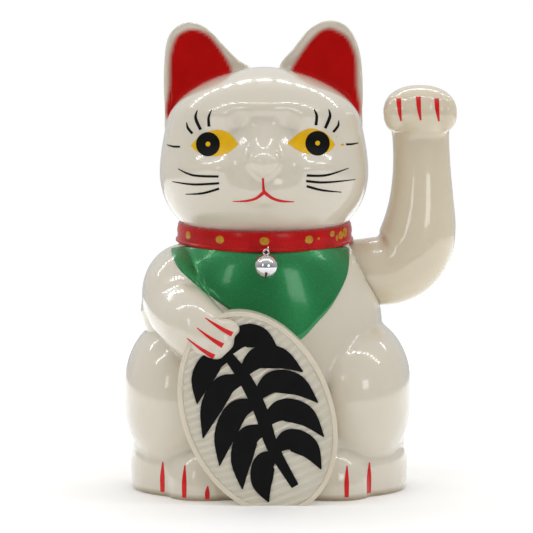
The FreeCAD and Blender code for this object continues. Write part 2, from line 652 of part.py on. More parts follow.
def make_battery():
    """The AA cell and its two sheet-metal contacts."""
    can = rod("cell_can", "cell_radius", "cell_length", ("-cell_length / 2 - cell_nub / 2", BAY_MIDDLE_Y, BAY_LEVEL), "x")
    nub = rod("cell_nub_rod", "cell_nub_radius", "cell_length + cell_nub",
              ("-cell_length / 2 - cell_nub / 2", BAY_MIDDLE_Y, BAY_LEVEL), "x")
    node("battery_cell", fuse("cell", can, nub))
    tall = "(2 * cell_radius)"
    for side, label in ((1, "positive_contact"), (-1, "negative_contact")):
        inner_x = "%d * (%s - contact_thickness / 2)" % (side, BAY_HALF_LENGTH)
        sheet_metal = block(label + "_sheet", ("contact_thickness", "cell_radius + 3", tall),
                            (inner_x, BAY_MIDDLE_Y, "plate_thickness + %s / 2 + 0.4" % tall))
        bump = rod(label + "_bump", "contact_bump_radius", "contact_room - contact_thickness / 2 - 0.1",
                   ("%s - (contact_room - contact_thickness / 2 - 0.1) / 2 - %d * (contact_room"
                    " - contact_thickness / 2 - 0.1) / 2" % (inner_x, side), BAY_MIDDLE_Y, BAY_LEVEL), "x")
        node(label, fuse(label + "_solid", sheet_metal, bump))


def tube_along(points, radius, bend):
    """A round wire through straight runs joined by tangent arcs."""
    spots = [FreeCAD.Vector(*point) for point in points]
    edges = []
    here = spots[0]
    for before, corner, after in zip(spots, spots[1:], spots[2:]):
        way_in = (corner - before).normalize()
        way_out = (after - corner).normalize()
        turn = way_in.getAngle(way_out)
        back = bend * math.tan(turn / 2)
        start = corner - way_in * back
        stop = corner + way_out * back
        inward = (way_out - way_in).normalize()
        middle = corner + inward * (bend / math.cos(turn / 2) - bend)
        edges.append(Part.LineSegment(here, start).toShape())
        edges.append(Part.Arc(start, middle, stop).toShape())
        here = stop
    edges.append(Part.LineSegment(here, spots[-1]).toShape())
    path = Part.Wire(edges)
    section = Part.Wire(Part.makeCircle(radius, spots[0], spots[1] - spots[0]))
    return path.makePipeShell([section], True, True)


def make_leads():
    """The two leads, each from the top of a battery contact to the circuit board."""
    radius = number("wire_radius")
    bay_half_length = (number("cell_length") + number("cell_nub")) / 2 + number("contact_room")
    x_contact = bay_half_length - number("contact_thickness") / 2
    contact_top = number("plate_thickness") + 2 * number("cell_radius") + 0.4
    y_contact = number("bay_front") + number("cell_radius") + number("bay_clearance")
    over = contact_top + 4
    x_board = number("board_width") / 3
    y_board = number("pivot_shift") - number("bobbin_radius") - 2 - 3
    board_top = number("board_level") + number("board_thickness")
    for side, label in ((1, "positive_lead"), (-1, "negative_lead")):
        route = [(side * x_contact, y_contact, contact_top), (side * x_contact, y_contact, over),
                 (side * x_contact, y_board, over), (side * x_board, y_board, over),
                 (side * x_board, y_board, board_top)]
        lead = doc.addObject("Part::Feature", label + "_wire")
        lead.Shape = tube_along(route, radius, 3 * radius)
        lead.Placement = FreeCAD.Placement()
        node(label, lead)


make_shells()
make_collar(doc.getObject("body_skin"))
make_bell()
make_coin()
make_arm()
make_pendulum()
make_frame()
make_coil()
make_board()
make_base()
make_door()
make_battery()
make_leads()
doc.recompute()


def check_and_write():
    """Stop on any failed object or bad shape, then write each sub-part to its own file."""
    bad = [thing.Name for thing in doc.Objects if "Invalid" in thing.State or "Error" in thing.State]
    if bad:
        raise RuntimeError("failed objects: " + ", ".join(bad))
    for label, thing in NODES.items():
        if thing.Shape.isNull() or not thing.Shape.isValid():
            raise RuntimeError("bad shape: " + label)
    os.makedirs("parts", exist_ok=True)
    for label, thing in NODES.items():
        thing.Shape.exportStep("parts/%s.step" % label)
        limits = thing.Shape.optimalBoundingBox(False, False)
        print("%-20s %2d solid(s) %9.1f mm3  x %.1f..%.1f y %.1f..%.1f z %.1f..%.1f" % (
            label, len(thing.Shape.Solids), thing.Shape.Volume, limits.XMin, limits.XMax,
            limits.YMin, limits.YMax, limits.ZMin, limits.ZMax))


check_and_write()
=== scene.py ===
"""Beckoning cat figurine: glossy moulded skins, paint films, coin, collar and bell around the CAD frame.

Lengths are written in millimetres and turned to metres by MM where a mesh is made. The cat faces -Y, and
the waving arm is on the +X side.
"""
import math

import bmesh
import bpy
import numpy as np
from mathutils import Matrix, Vector
from mathutils.bvhtree import BVHTree


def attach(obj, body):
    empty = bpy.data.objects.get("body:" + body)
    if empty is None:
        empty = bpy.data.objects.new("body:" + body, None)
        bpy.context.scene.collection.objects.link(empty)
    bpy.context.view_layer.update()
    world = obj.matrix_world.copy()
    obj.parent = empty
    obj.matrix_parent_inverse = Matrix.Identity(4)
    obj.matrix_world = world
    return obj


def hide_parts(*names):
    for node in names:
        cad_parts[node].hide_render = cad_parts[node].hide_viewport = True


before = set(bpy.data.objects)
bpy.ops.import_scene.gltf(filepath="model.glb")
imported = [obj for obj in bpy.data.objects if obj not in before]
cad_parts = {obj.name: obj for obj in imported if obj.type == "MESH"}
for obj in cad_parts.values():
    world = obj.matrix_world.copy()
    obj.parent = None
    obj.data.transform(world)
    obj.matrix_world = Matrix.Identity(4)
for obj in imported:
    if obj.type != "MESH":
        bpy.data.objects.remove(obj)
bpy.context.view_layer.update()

MM = 0.001

# Places shared with the CAD frame.
PIVOT = Vector((0.0, 5.0, 93.0))
PARTING_Y = 2.0
SHELL_WALL = 2.2
ARM_WALL = 1.8
ARM_ROOT_START = 30.0
ARM_OPENING_RADIUS = 15.8
ARM_OPENING_FROM_X = 25.0
HEAD_X = -1.7

# How finely the clay is melted, and how often its joins are softened.
BODY_VOXEL = 1.1
BODY_SOFTENING = 6
ARM_VOXEL = 0.9
ARM_SOFTENING = 8

# Paint films: how deep their undersides are sunk, and how proud their faces stand.
FILM_SINK = 0.25
EYE_LIFT = 0.08
PUPIL_LIFT = 0.15
GLINT_LIFT = 0.21
LINE_LIFT = 0.09
BIB_LIFT = 0.7
SPRIG_LIFT = 0.12


# ---- Small helpers

def spline(points, steps, closed=False):
    """Points along a smooth curve through a list of points, with a number of steps from each to the next."""
    path = []
    last = len(points) if closed else len(points) - 1
    for start in range(last):
        quad = [points[(start + shift) % len(points)] if closed
                else points[min(max(start + shift, 0), len(points) - 1)] for shift in (-1, 0, 1, 2)]
        for step in range(steps):
            along = step / steps
            path.append([0.5 * (2 * b + (c - a) * along + (2 * a - 5 * b + 4 * c - d) * along ** 2
                                + (3 * b - a - 3 * c + d) * along ** 3) for a, b, c, d in zip(*quad)])
    if not closed:
        path.append(list(points[-1]))
    return path


def new_object(name, mesh):
    """Link a mesh as an object at the origin."""
    thing = bpy.data.objects.new(name, mesh)
    bpy.context.scene.collection.objects.link(thing)
    return thing


def mesh_from(bm, name):
    """A mesh in metres from a bmesh that was made in millimetres."""
    bmesh.ops.scale(bm, vec=(MM, MM, MM), verts=bm.verts)
    mesh = bpy.data.meshes.new(name)
    bm.to_mesh(mesh)
    bm.free()
    return mesh


def shade(mesh, sharp_degrees=35):
    """Smooth shading, except across sharp edges."""
    mesh.polygons.foreach_set("use_smooth", [True] * len(mesh.polygons))
    mesh.set_sharp_from_angle(angle=math.radians(sharp_degrees))


def finish_piece(name, bm, material, body="root", replaces=(), sharp_degrees=35):
    """Make a finished piece that rides on a body and, where it stands for CAD nodes, hides them."""
    mesh = mesh_from(bm, name)
    mesh.materials.append(material)
    shade(mesh, sharp_degrees)
    thing = new_object(name, mesh)
    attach(thing, body)
    if replaces:
        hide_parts(*replaces)
    return thing


def vertex_spots(mesh):
    """The places of a mesh's vertices in millimetres, one row each."""
    spots = np.empty(len(mesh.vertices) * 3)
    mesh.vertices.foreach_get("co", spots)
    return spots.reshape(-1, 3) / MM


def new_vertices(made):
    """The vertices among what an extrusion made."""
    return [item for item in made["geom"] if isinstance(item, bmesh.types.BMVert)]


def full_turn(bm, profile, steps):
    """Spin a profile, vertices and edges, right round Z into a closed skin with its faces outwards."""
    bmesh.ops.spin(bm, geom=profile, axis=(0, 0, 1), cent=(0, 0, 0), dvec=(0, 0, 0),
                   angle=math.tau, steps=steps, use_merge=True, use_duplicate=False)
    bmesh.ops.remove_doubles(bm, verts=bm.verts, dist=1e-4)
    bmesh.ops.recalc_face_normals(bm, faces=bm.faces)


def slice_at(bm, spot, normal, clear=True):
    """Cut along a plane and, unless told not to, clear away what lies on the side its normal points to."""
    bmesh.ops.bisect_plane(bm, geom=bm.verts[:] + bm.edges[:] + bm.faces[:], dist=1e-4,
                           plane_co=spot, plane_no=normal, clear_outer=clear)


def applied(thing):
    """Replace an object by the mesh its modifiers give."""
    graph = bpy.context.evaluated_depsgraph_get()
    mesh = bpy.data.meshes.new_from_object(thing.evaluated_get(graph))
    bpy.data.objects.remove(thing)
    return mesh


# ---- Clay: closed forms that a voxel remesh joins into one skin

def egg(bm, centre, radii, turn=(0, 0, 0), square=1.0):
    """An egg at a place, turned about X, Y and Z in degrees; a low square value makes it boxier."""
    ball = bmesh.ops.create_icosphere(bm, subdivisions=4, radius=1.0)
    for vertex in ball["verts"]:
        vertex.co = Vector([math.copysign(abs(value) ** square, value) for value in vertex.co])
    spin = Matrix.Identity(4)
    for axis, angle in zip("XYZ", turn):
        spin = Matrix.Rotation(math.radians(angle), 4, axis) @ spin
    place = Matrix.Translation(Vector(centre)) @ spin @ Matrix.Diagonal((*radii, 1.0))
    bmesh.ops.transform(bm, matrix=place, verts=ball["verts"])


def chain(bm, stations, steps=5):
    """A limb of closely spaced eggs: each station gives a centre and three radii."""
    for x, y, z, wide, deep, tall in spline(stations, steps):
        egg(bm, (x, y, z), (wide, deep, tall))


def tube(bm, stations, steps=5, segments=64, square=1.0):
    """A closed tube through stations: each gives a centre, half width, half depth and a turn about Y."""
    ring = bmesh.ops.create_circle(bm, segments=segments, radius=1.0, cap_ends=False)["verts"]
    unit = [Vector([math.copysign(abs(value) ** square, value) for value in vertex.co]) for vertex in ring]
    edges = list({edge for vertex in ring for edge in vertex.link_edges})
    rings = []
    for x, y, z, wide, deep, turn in spline(stations, steps):
        if rings:
            made = bmesh.ops.extrude_edge_only(bm, edges=edges)
            edges = [item for item in made["geom"] if isinstance(item, bmesh.types.BMEdge) and item.is_boundary]
            ring = list(match_ring(rings[-1], new_vertices(made)))
        spin = Matrix.Rotation(math.radians(turn), 3, "Y")
        for vertex, flat in zip(ring, unit):
            vertex.co = Vector((x, y, z)) + spin @ Vector((flat.x * wide, flat.y * deep, 0.0))
        rings.append(ring)
    for end in (rings[0], rings[-1]):
        bm.faces.new(end)
    bmesh.ops.recalc_face_normals(bm, faces=bm.faces)


def column(bm, stations, square):
    """An upright tube: each station gives a centre, half width and half depth."""
    tube(bm, [(*station, 0) for station in stations], square=square)


def match_ring(old, new):
    """The extruded copy of each vertex: the new one that an edge joins to it."""
    fresh = set(new)
    for vertex in old:
        yield next(edge.other_vert(vertex) for edge in vertex.link_edges if edge.other_vert(vertex) in fresh)


def cupped_slab(bm, outline, front, steps, rim, dish):
    """An upright form from a closed outline in X and Z: a dished front, and a back that closes in steps."""
    ring = bmesh.ops.create_circle(bm, segments=len(outline), radius=1.0, cap_ends=True)["verts"]
    for vertex, (x, z) in zip(ring, outline):
        vertex.co = Vector((x, front, z))
    face = ring[0].link_faces[0]
    middle = sum((vertex.co for vertex in ring), Vector()) / len(ring)
    keep = True
    back = [face]
    for depth, scale in steps:
        made = bmesh.ops.extrude_face_region(bm, geom=back, use_keep_orig=keep)["geom"]
        back = [item for item in made if isinstance(item, bmesh.types.BMFace)]
        corners = list({vertex for item in back for vertex in item.verts})
        bmesh.ops.translate(bm, vec=(0, depth, 0), verts=corners)
        centre = Matrix.Translation(-middle)
        bmesh.ops.scale(bm, vec=(scale, 1, scale), space=centre, verts=corners)
        keep = False
    bmesh.ops.recalc_face_normals(bm, faces=bm.faces)
    bmesh.ops.inset_region(bm, faces=[face], thickness=rim, depth=-dish, use_even_offset=True)


def skin(bm, name, voxel, smoothing):
    """Melt overlapping clay forms into one closed skin and soften where they meet."""
    thing = new_object(name, mesh_from(bm, name))
    melt = thing.modifiers.new("melt", "REMESH")
    melt.mode = "VOXEL"
    melt.voxel_size = voxel * MM
    soften = thing.modifiers.new("soften", "SMOOTH")
    soften.factor = 0.5
    soften.iterations = smoothing
    return applied(thing)


def press(mesh, moves):
    """Push the clay about: each move has a centre, a reach along each axis and a push, in millimetres."""
    spots = vertex_spots(mesh)
    for centre, reach, push in moves:
        away = (spots - np.array(centre)) / np.array(reach)
        weight = np.exp(-2.0 * np.sum(away ** 2, axis=1))
        spots += weight[:, None] * np.array(push)
    mesh.vertices.foreach_set("co", (spots * MM).ravel())
    mesh.update()


# ---- Node materials

def tone(code):
    """Linear colour from an sRGB hex code."""
    parts = [int(code[start:start + 2], 16) / 255 for start in (1, 3, 5)]
    return [part / 12.92 if part <= 0.04045 else ((part + 0.055) / 1.055) ** 2.4 for part in parts] + [1.0]


def add(material, kind, links=(), **settings):
    """Add a node; settings name its properties or inputs, and links join its inputs to other outputs."""
    node = material.node_tree.nodes.new(kind)
    for name, value in settings.items():
        if hasattr(node, name):
            setattr(node, name, value)
        else:
            node.inputs[name.replace("_", " ")].default_value = value
    for socket, source in links:
        material.node_tree.links.new(node.inputs[socket], source)
    return node


def ramp(material, source, stops):
    """A colour ramp on a value: each stop is a position and a hex code."""
    node = add(material, "ShaderNodeValToRGB", links=[("Fac", source)])
    elements = node.color_ramp.elements
    while len(elements) < len(stops):
        elements.new(0.5)
    for element, (position, code) in zip(elements, stops):
        element.position = position
        element.color = tone(code)
    return node.outputs["Color"]


def start_material(name):
    """An empty node material, its output, and the object's own coordinates."""
    material = bpy.data.materials.new(name)
    material.use_nodes = True
    material.node_tree.nodes.clear()
    output = add(material, "ShaderNodeOutputMaterial")
    place = add(material, "ShaderNodeTexCoord").outputs["Object"]
    return material, output, place


def end_material(material, output, links, **settings):
    """Add the surface shader and join it to the output."""
    shader = add(material, "ShaderNodeBsdfPrincipled", links=links, **settings)
    material.node_tree.links.new(output.inputs["Surface"], shader.outputs["BSDF"])
    return material


def noise(material, place, size_mm, detail=3.0):
    """Cloudy variation whose blotches are about a size in millimetres."""
    return add(material, "ShaderNodeTexNoise", links=[("Vector", place)],
               Scale=1000.0 / size_mm, Detail=detail, Roughness=0.5).outputs["Fac"]


def moulded_ivory(name, dark, light):
    """Ivory ABS, injection moulded and clear lacquered: deep gloss, a warm body colour that light enters.
    Along the bottom edge a brown band of painted shade stands for the shadow where the shell turns under."""
    material, output, place = start_material(name)
    clean = ramp(material, noise(material, place, 45.0), [(0.3, dark), (0.7, light)])
    height = add(material, "ShaderNodeSeparateXYZ", links=[("Vector", place)]).outputs["Z"]
    # Painted shade: below about 3 mm the colour turns to a mottled brown, standing in for the shadow under the
    # bottom edge.
    foot = add(material, "ShaderNodeMapRange", links=[("Value", height)], From_Min=0.0006, From_Max=0.0028,
               To_Min=0.95, To_Max=0.0).outputs[0]
    painted_bottom_shade = ramp(material, noise(material, place, 6.0), [(0.3, "#8E7A58"), (0.7, "#A08C6C")])
    body = add(material, "ShaderNodeMix", data_type="RGBA", links=[(0, foot), (6, clean), (7, painted_bottom_shade)]).outputs[2]
    reddened = add(material, "ShaderNodeAttribute", attribute_name="ear_spray").outputs["Fac"]
    pigment = ramp(material, noise(material, place, 14.0), [(0.3, "#B40200"), (0.7, "#C60602")])
    painted = add(material, "ShaderNodeMix", data_type="RGBA", links=[(0, reddened), (6, body), (7, pigment)])
    ripple = noise(material, place, 9.0, 1.0)
    bump = add(material, "ShaderNodeBump", links=[("Height", ripple)], Strength=0.05, Distance=0.0004)
    gloss = add(material, "ShaderNodeMapRange", links=[("Value", noise(material, place, 20.0))],
                To_Min=0.16, To_Max=0.24)
    lacquer = add(material, "ShaderNodeMapRange", links=[("Value", reddened)], To_Min=1.0, To_Max=0.15)
    shine = add(material, "ShaderNodeMapRange", links=[("Value", reddened)], To_Min=0.5, To_Max=0.12)
    return end_material(material, output, [("Base Color", painted.outputs[2]), ("Normal", bump.outputs[0]),
                                           ("Roughness", gloss.outputs[0]), ("Coat Weight", lacquer.outputs[0]),
                                           ("Specular IOR Level", shine.outputs[0])],
                        IOR=1.5, Subsurface_Weight=0.12, Subsurface_Radius=(1.0, 0.6, 0.35),
                        Subsurface_Scale=0.004, Coat_Roughness=0.02)


def coin_ivory():
    """Thin ivory ABS with light through it: a little duller than the body, with a satin face."""
    material, output, place = start_material("thin_ivory_abs")
    colour = ramp(material, noise(material, place, 18.0), [(0.3, "#D6CCB8"), (0.7, "#DED4C2")])
    return end_material(material, output, [("Base Color", colour)], Roughness=0.32, Subsurface_Weight=0.25,
                        Subsurface_Radius=(1.0, 0.7, 0.5), Subsurface_Scale=0.003, Coat_Weight=0.25,
                        Coat_Roughness=0.12)


def paint(name, dark, light, roughness, size_mm=6.0, metallic=0.0, coat=0.0, shine=0.5):
    """Brushed or printed enamel: a thin film with slight streaks of thickness."""
    material, output, place = start_material(name)
    colour = ramp(material, noise(material, place, size_mm), [(0.35, dark), (0.65, light)])
    gloss = add(material, "ShaderNodeMapRange", links=[("Value", noise(material, place, 3.0))],
                To_Min=roughness - 0.05, To_Max=roughness + 0.08)
    return end_material(material, output, [("Base Color", colour), ("Roughness", gloss.outputs[0])],
                        Metallic=metallic, Coat_Weight=coat, Coat_Roughness=0.06, Specular_IOR_Level=shine)


def pearl_green():
    """Pearl green enamel over the moulding: mica flakes lift the colour where light falls straight on."""
    material, output, place = start_material("pearl_green_enamel")
    flakes = add(material, "ShaderNodeTexVoronoi", links=[("Vector", place)], Scale=5000.0).outputs["Color"]
    glint = add(material, "ShaderNodeSeparateColor", links=[("Color", flakes)]).outputs[0]
    colour = ramp(material, glint, [(0.0, "#0F7A3C"), (0.8, "#128243"), (1.0, "#2E9A5E")])
    bump = add(material, "ShaderNodeBump", links=[("Height", glint)], Strength=0.03, Distance=0.00005)
    return end_material(material, output, [("Base Color", colour), ("Normal", bump.outputs[0])],
                        Metallic=0.55, Roughness=0.34, Coat_Weight=0.6, Coat_Roughness=0.1)


def bright_metal(name, code, roughness):
    """Plated or drawn metal with faint handling marks in its gloss."""
    material, output, place = start_material(name)
    gloss = add(material, "ShaderNodeMapRange", links=[("Value", noise(material, place, 2.0))],
                To_Min=roughness, To_Max=roughness + 0.06)
    colour = ramp(material, noise(material, place, 5.0), [(0.2, code), (0.8, code)])
    return end_material(material, output, [("Base Color", colour), ("Roughness", gloss.outputs[0])],
                        Metallic=1.0)


def plain_moulding(name, dark, light, roughness=0.45):
    """Unpainted moulded plastic with the fine grain of a sparked tool."""
    material, output, place = start_material(name)
    colour = ramp(material, noise(material, place, 12.0), [(0.3, dark), (0.7, light)])
    bump = add(material, "ShaderNodeBump", links=[("Height", noise(material, place, 0.6, 1.0))],
               Strength=0.15, Distance=0.00005)
    return end_material(material, output, [("Base Color", colour), ("Normal", bump.outputs[0])],
                        Roughness=roughness)


IVORY = moulded_ivory("lacquered_ivory_abs", "#DAD1BF", "#DFD7C7")
ARM_IVORY = moulded_ivory("yellowed_ivory_abs", "#DACDB2", "#DFD3BB")
COIN_IVORY = coin_ivory()
BLACK = paint("black_pad_print", "#060606", "#0A0A0B", 0.45, shine=0.12)
RED = paint("red_brush_enamel", "#CE0A0E", "#DC1A1A", 0.3, size_mm=4.0, shine=0.3)
COLLAR_RED = paint("red_collar_lacquer", "#B00206", "#C4060A", 0.25, size_mm=8.0, coat=0.12, shine=0.25)
GOLD = paint("gold_dot_paint", "#A87408", "#D09A12", 0.35, size_mm=1.5, metallic=0.25)
YELLOW = paint("yellow_eye_enamel", "#E2AE00", "#ECBA00", 0.28, size_mm=5.0, shine=0.25)
GREEN = pearl_green()
CHROME = bright_metal("bell_chrome_plate", "#DADADD", 0.05)
STEEL = bright_metal("drawn_steel", "#B4B4B2", 0.28)
COPPER = bright_metal("enamelled_copper", "#A8552A", 0.3)
MECHANISM = plain_moulding("natural_acetal", "#D8D6CE", "#E2E0D8")
BASE = plain_moulding("ivory_base_abs", "#D9D1C0", "#E0D8C8")
FERRITE = plain_moulding("sintered_ferrite", "#222224", "#2E2E31", 0.6)
LAMINATE = plain_moulding("phenolic_board", "#7A5426", "#8C6430", 0.4)
CASE = plain_moulding("component_case", "#141416", "#1E1E22", 0.35)
CELL = plain_moulding("printed_cell_sleeve", "#1C4A3C", "#245A48", 0.25)
LEAD_RED = plain_moulding("red_pvc_insulation", "#A81818", "#BC2020", 0.4)
LEAD_BLACK = plain_moulding("black_pvc_insulation", "#121214", "#1C1C1E", 0.4)


# ---- Body skin

# Outlines of the two ears and of their red spray, from the outer foot round the tip.
EARS = {
    "viewer_left": [(-42.5, 150), (-44.6, 163.0), (-45.0, 178.6), (-43.8, 191.6), (-41.0, 197.0), (-36.8, 199.9),
                    (-32.6, 200.3), (-28.4, 199.0), (-23.9, 195.6), (-17.5, 188.7), (-12.6, 183.9), (-6.0, 178.4),
                    (-5.0, 160.0), (-22.0, 148.0)],
    "viewer_right": [(38.6, 150), (40.7, 163.0), (40.9, 173.0), (40.2, 184.2), (38.3, 191.9), (35.0, 197.6),
                     (30.9, 200.4), (25.9, 201.2), (20.9, 199.5), (16.2, 195.8), (10.6, 188.6), (4.6, 180.6),
                     (2.0, 160.0), (18.0, 148.0)],
}
EAR_REDS = {
    "viewer_left": [(-43.4, 158), (-43.0, 173.2), (-42.4, 186.3), (-39.8, 194.0), (-35.8, 197.0), (-32.3, 197.6),
                    (-28.5, 197.0), (-24.4, 194.4), (-19.4, 187.9), (-15.0, 179.2), (-14.0, 170), (-28.0, 156)],
    "viewer_right": [(39.4, 158), (38.8, 173.2), (38.4, 184.0), (36.6, 190.4), (33.6, 194.9), (27.7, 198.0),
                     (24.0, 197.6), (20.6, 195.5), (15.2, 189.0), (9.0, 178.5), (8.4, 170), (24.0, 156)],
}
EAR_FRONT = 5.6
EAR_DISH = 2.0
EAR_RIM = 2.9
SPRAY_BEYOND = 0.6
SPRAY_FADE = 1.8
# Each step of an ear's back: how far it goes back, and how much the outline shrinks.
EAR_BACK = [(4.0, 1.0), (4.0, 0.96), (3.5, 0.88), (2.5, 0.78), (1.5, 0.6)]


def body_clay():
    """Torso, head, base band, seat, ears, haunches, feet and the coin arm as overlapping forms."""
    bm = bmesh.new()
    torso = [(0.0, 5, -6, 48, 40), (0.0, 5, 20, 51, 41), (0.0, 4, 45, 52, 42), (-0.2, 3, 65, 50, 41),
             (-0.2, 2, 80, 48.2, 39), (-1.5, 1.5, 91, 44.8, 37.5), (-1.5, 1, 99, 40.5, 35.5),
             (-1.5, 1, 105, 36.8, 33), (-1.5, 1, 111, 34.8, 32), (-1.6, 0.5, 117, 37.2, 33)]
    column(bm, torso, 0.94)
    head = [(1, 110, 30, 29), (0.5, 114.5, 35.4, 33.5), (0, 119.5, 39.8, 37), (-0.5, 125, 42.7, 39.2),
            (-0.8, 131, 44.3, 40.6), (-1, 137, 44.7, 41), (-0.8, 145, 44, 40.6), (-0.4, 153, 42.6, 39.4),
            (-0.8, 160, 40.8, 38.2), (-1.2, 164, 38.6, 36.8), (-1.6, 168, 35.0, 33.8),
            (-1.9, 172, 29.6, 29.0), (-2.3, 176.3, 20.8, 20.8), (-2.8, 179.4, 10.5, 11), (-3, 180.8, 3, 3)]
    column(bm, [(HEAD_X, *row) for row in head], 0.96)
    foot = [(0.4, 3, -6, 57.6, 42.4), (0.5, 3, 0, 59.0, 43), (0.5, 3, 8, 59.9, 43.4), (0.5, 3, 15, 59.6, 43),
            (0.4, 3, 19.5, 57.8, 41.4), (0.4, 3, 22, 53, 38)]
    column(bm, foot, 0.92)
    seat = [(0.3, 2, -6, 55, 37), (0.3, 2, 12, 57.5, 37.5), (0.3, 1.5, 19, 58.7, 38.2),
            (0.3, 1.5, 26, 59.6, 38.6), (0.3, 1, 34, 60.5, 38.8), (0.3, 1, 44, 60.8, 37.5), (0.3, 1, 52, 56.4, 34)]
    column(bm, seat, 0.94)
    for outline in EARS.values():
        cupped_slab(bm, spline(outline, 4, closed=True), EAR_FRONT, EAR_BACK, EAR_RIM, EAR_DISH)
    for side in (-1, 1):
        egg(bm, (side * 37.0 - 0.1, 1.0, 41.0), (25.3, 39.5, 33.3), square=0.92)
        egg(bm, (0.3 + side * 27.0, -22.5, 4.0), (16.0, 18.6, 19.5), square=0.9)
    coin_arm_clay(bm)
    muzzle_clay(bm)
    return bm


def coin_arm_clay(bm):
    """The arm that comes down over the coin: shoulder, forearm, paw, upper arm and toes."""
    chain(bm, [(-35.6, -8.0, 84.2, 18.2, 22.5, 21.4), (-37.5, -17.5, 84.0, 15.3, 18.0, 17.2),
               (-37.0, -26.5, 78.6, 13.3, 14.6, 14.4), (-32.2, -37.5, 74.0, 12.3, 14.2, 14.4),
               (-26.5, -44.4, 70.2, 11.2, 10.0, 12.8), (-21.5, -48.0, 69.0, 9.8, 7.6, 10.2)], steps=6)
    egg(bm, (-40.6, -7.0, 77.0), (13.8, 18.0, 14.0))
    for along, (x, z) in enumerate(((-15.4, 73.6), (-18.0, 68.0), (-22.3, 63.4))):
        egg(bm, (x, -52.2 + along * 0.2, z), (4.6, 4.0, 3.0), turn=(0, 30, 0))


def muzzle_clay(bm):
    """Nose, its bridge and the soft pads either side of the mouth."""
    nose = [(-34.8, 156.0, 6.4, 5.0, 5.0), (-36.6, 150.0, 6.2, 5.0, 4.6), (-39.2, 145.0, 6.4, 5.4, 3.8),
            (-41.9, 141.2, 7.2, 5.6, 3.4), (-41.9, 138.4, 5.6, 5.0, 3.4), (-40.2, 135.6, 3.4, 4.2, 2.8)]
    chain(bm, [(HEAD_X, *row) for row in nose], steps=3)
    egg(bm, (HEAD_X, -36.0, 130.6), (14.5, 6.6, 9.2))


def body_skin():
    """The whole moulded skin, with the face pressed in."""
    mesh = skin(body_clay(), "body_skin", BODY_VOXEL, BODY_SOFTENING)
    moves = [((HEAD_X, -40, 163.6), (20, 20, 3.6), (0, -0.9, 0)),
             ((HEAD_X, -40, 157.0), (9, 20, 5), (0, 1.2, 0))]
    for side in (-1, 1):
        moves.append(((HEAD_X + side * 21.0, -38, 160.6), (10, 20, 3.6), (0, -0.8, 0)))
        moves.append(((HEAD_X + side * 19.5, -38, 148.5), (15, 22, 10), (0, 3.6, 0)))
        moves.append(((HEAD_X + side * 10.0, -40, 154.0), (5.5, 18, 8), (0, 3.0, 0)))
        moves.append(((HEAD_X + side * 22.0, -36, 138.5), (11, 20, 5.5), (0, -1.6, 0)))
        moves.append(((HEAD_X + side * 12.5, -38, 136.5), (3.5, 18, 5), (0, 0.9, 0)))
    press(mesh, moves)
    return mesh


def spray_ears(mesh):
    """Mark how much red spray each point of the skin carries, with the soft edge of an airbrush."""
    spots = vertex_spots(mesh)
    spray = np.zeros(len(spots))
    for outline in EAR_REDS.values():
        inside = signed_distance(spots[:, (0, 2)], np.array(spline(outline, 6, closed=True)))
        front = spots[:, 1] < EAR_FRONT + EAR_DISH + 1.5
        edge = np.clip((inside + SPRAY_BEYOND) / SPRAY_FADE, 0.0, 1.0)
        clear = np.clip((spots[:, 1] - EAR_FRONT + 0.4) / 0.5, 0.0, 1.0)
        spray = np.maximum(spray, edge * clear * front)
    layer = mesh.attributes.new("ear_spray", "FLOAT", "POINT")
    layer.data.foreach_set("value", spray)


def signed_distance(spots, outline):
    """Distance of each flat point to a closed outline, positive inside it."""
    start = outline
    side = np.roll(outline, -1, axis=0) - start
    offset = spots[:, None, :] - start[None, :, :]
    along = np.clip(np.sum(offset * side, axis=2) / np.sum(side ** 2, axis=1), 0.0, 1.0)
    gap = np.linalg.norm(offset - along[:, :, None] * side, axis=2).min(axis=1)
    next_z = np.roll(outline, -1, axis=0)[:, 1]
    spans = (start[None, :, 1] > spots[:, None, 1]) != (next_z[None, :] > spots[:, None, 1])
    with np.errstate(divide="ignore", invalid="ignore"):
        reach = side[:, 0] * (spots[:, None, 1] - start[None, :, 1]) / side[:, 1] + start[None, :, 0]
    crossings = np.sum(spans & (spots[:, None, 0] < reach), axis=1)
    return np.where(crossings % 2 == 1, gap, -gap)


def open_round(bm, centre, radius, beyond_x):
    """Cut a round hole along X through the skin past a plane, and draw its edge to a true circle."""
    def apart(spot):
        return math.hypot(spot.y - centre.y, spot.z - centre.z)
    doomed = [face for face in bm.faces if face.calc_center_median().x > beyond_x
              and apart(face.calc_center_median()) < radius]
    bmesh.ops.delete(bm, geom=doomed, context="FACES")
    for vertex in bm.verts:
        if vertex.is_boundary and vertex.co.x > beyond_x and apart(vertex.co) < radius + 2:
            pull = radius / max(apart(vertex.co), 0.01)
            vertex.co.y = centre.y + (vertex.co.y - centre.y) * pull
            vertex.co.z = centre.z + (vertex.co.z - centre.z) * pull


def half_shell(source, name, side, parting, wall, plastic, cut_floor=None, opening=None, root_x=None):
    """One moulded half of a skin, hollow, with its wall thickness turned inwards."""
    bm = bmesh.new()
    bm.from_mesh(source)
    bmesh.ops.scale(bm, vec=(1 / MM,) * 3, verts=bm.verts)
    planes = [((0, parting, 0), (0, side, 0))]
    if cut_floor is not None:
        planes.append(((0, 0, cut_floor), (0, 0, -1)))
    if root_x is not None:
        planes.append(((root_x, 0, 0), (-1, 0, 0)))
    if opening:
        open_round(bm, PIVOT, opening, ARM_OPENING_FROM_X)
    for spot, normal in planes:
        slice_at(bm, spot, normal)
    thing = new_object(name, mesh_from(bm, name))
    thicken = thing.modifiers.new("wall", "SOLIDIFY")
    thicken.thickness = wall * MM
    thicken.offset = -1.0
    thicken.use_even_offset = False
    mesh = applied(thing)
    mesh.materials.append(plastic)
    shade(mesh, 50)
    return new_object(name, mesh)


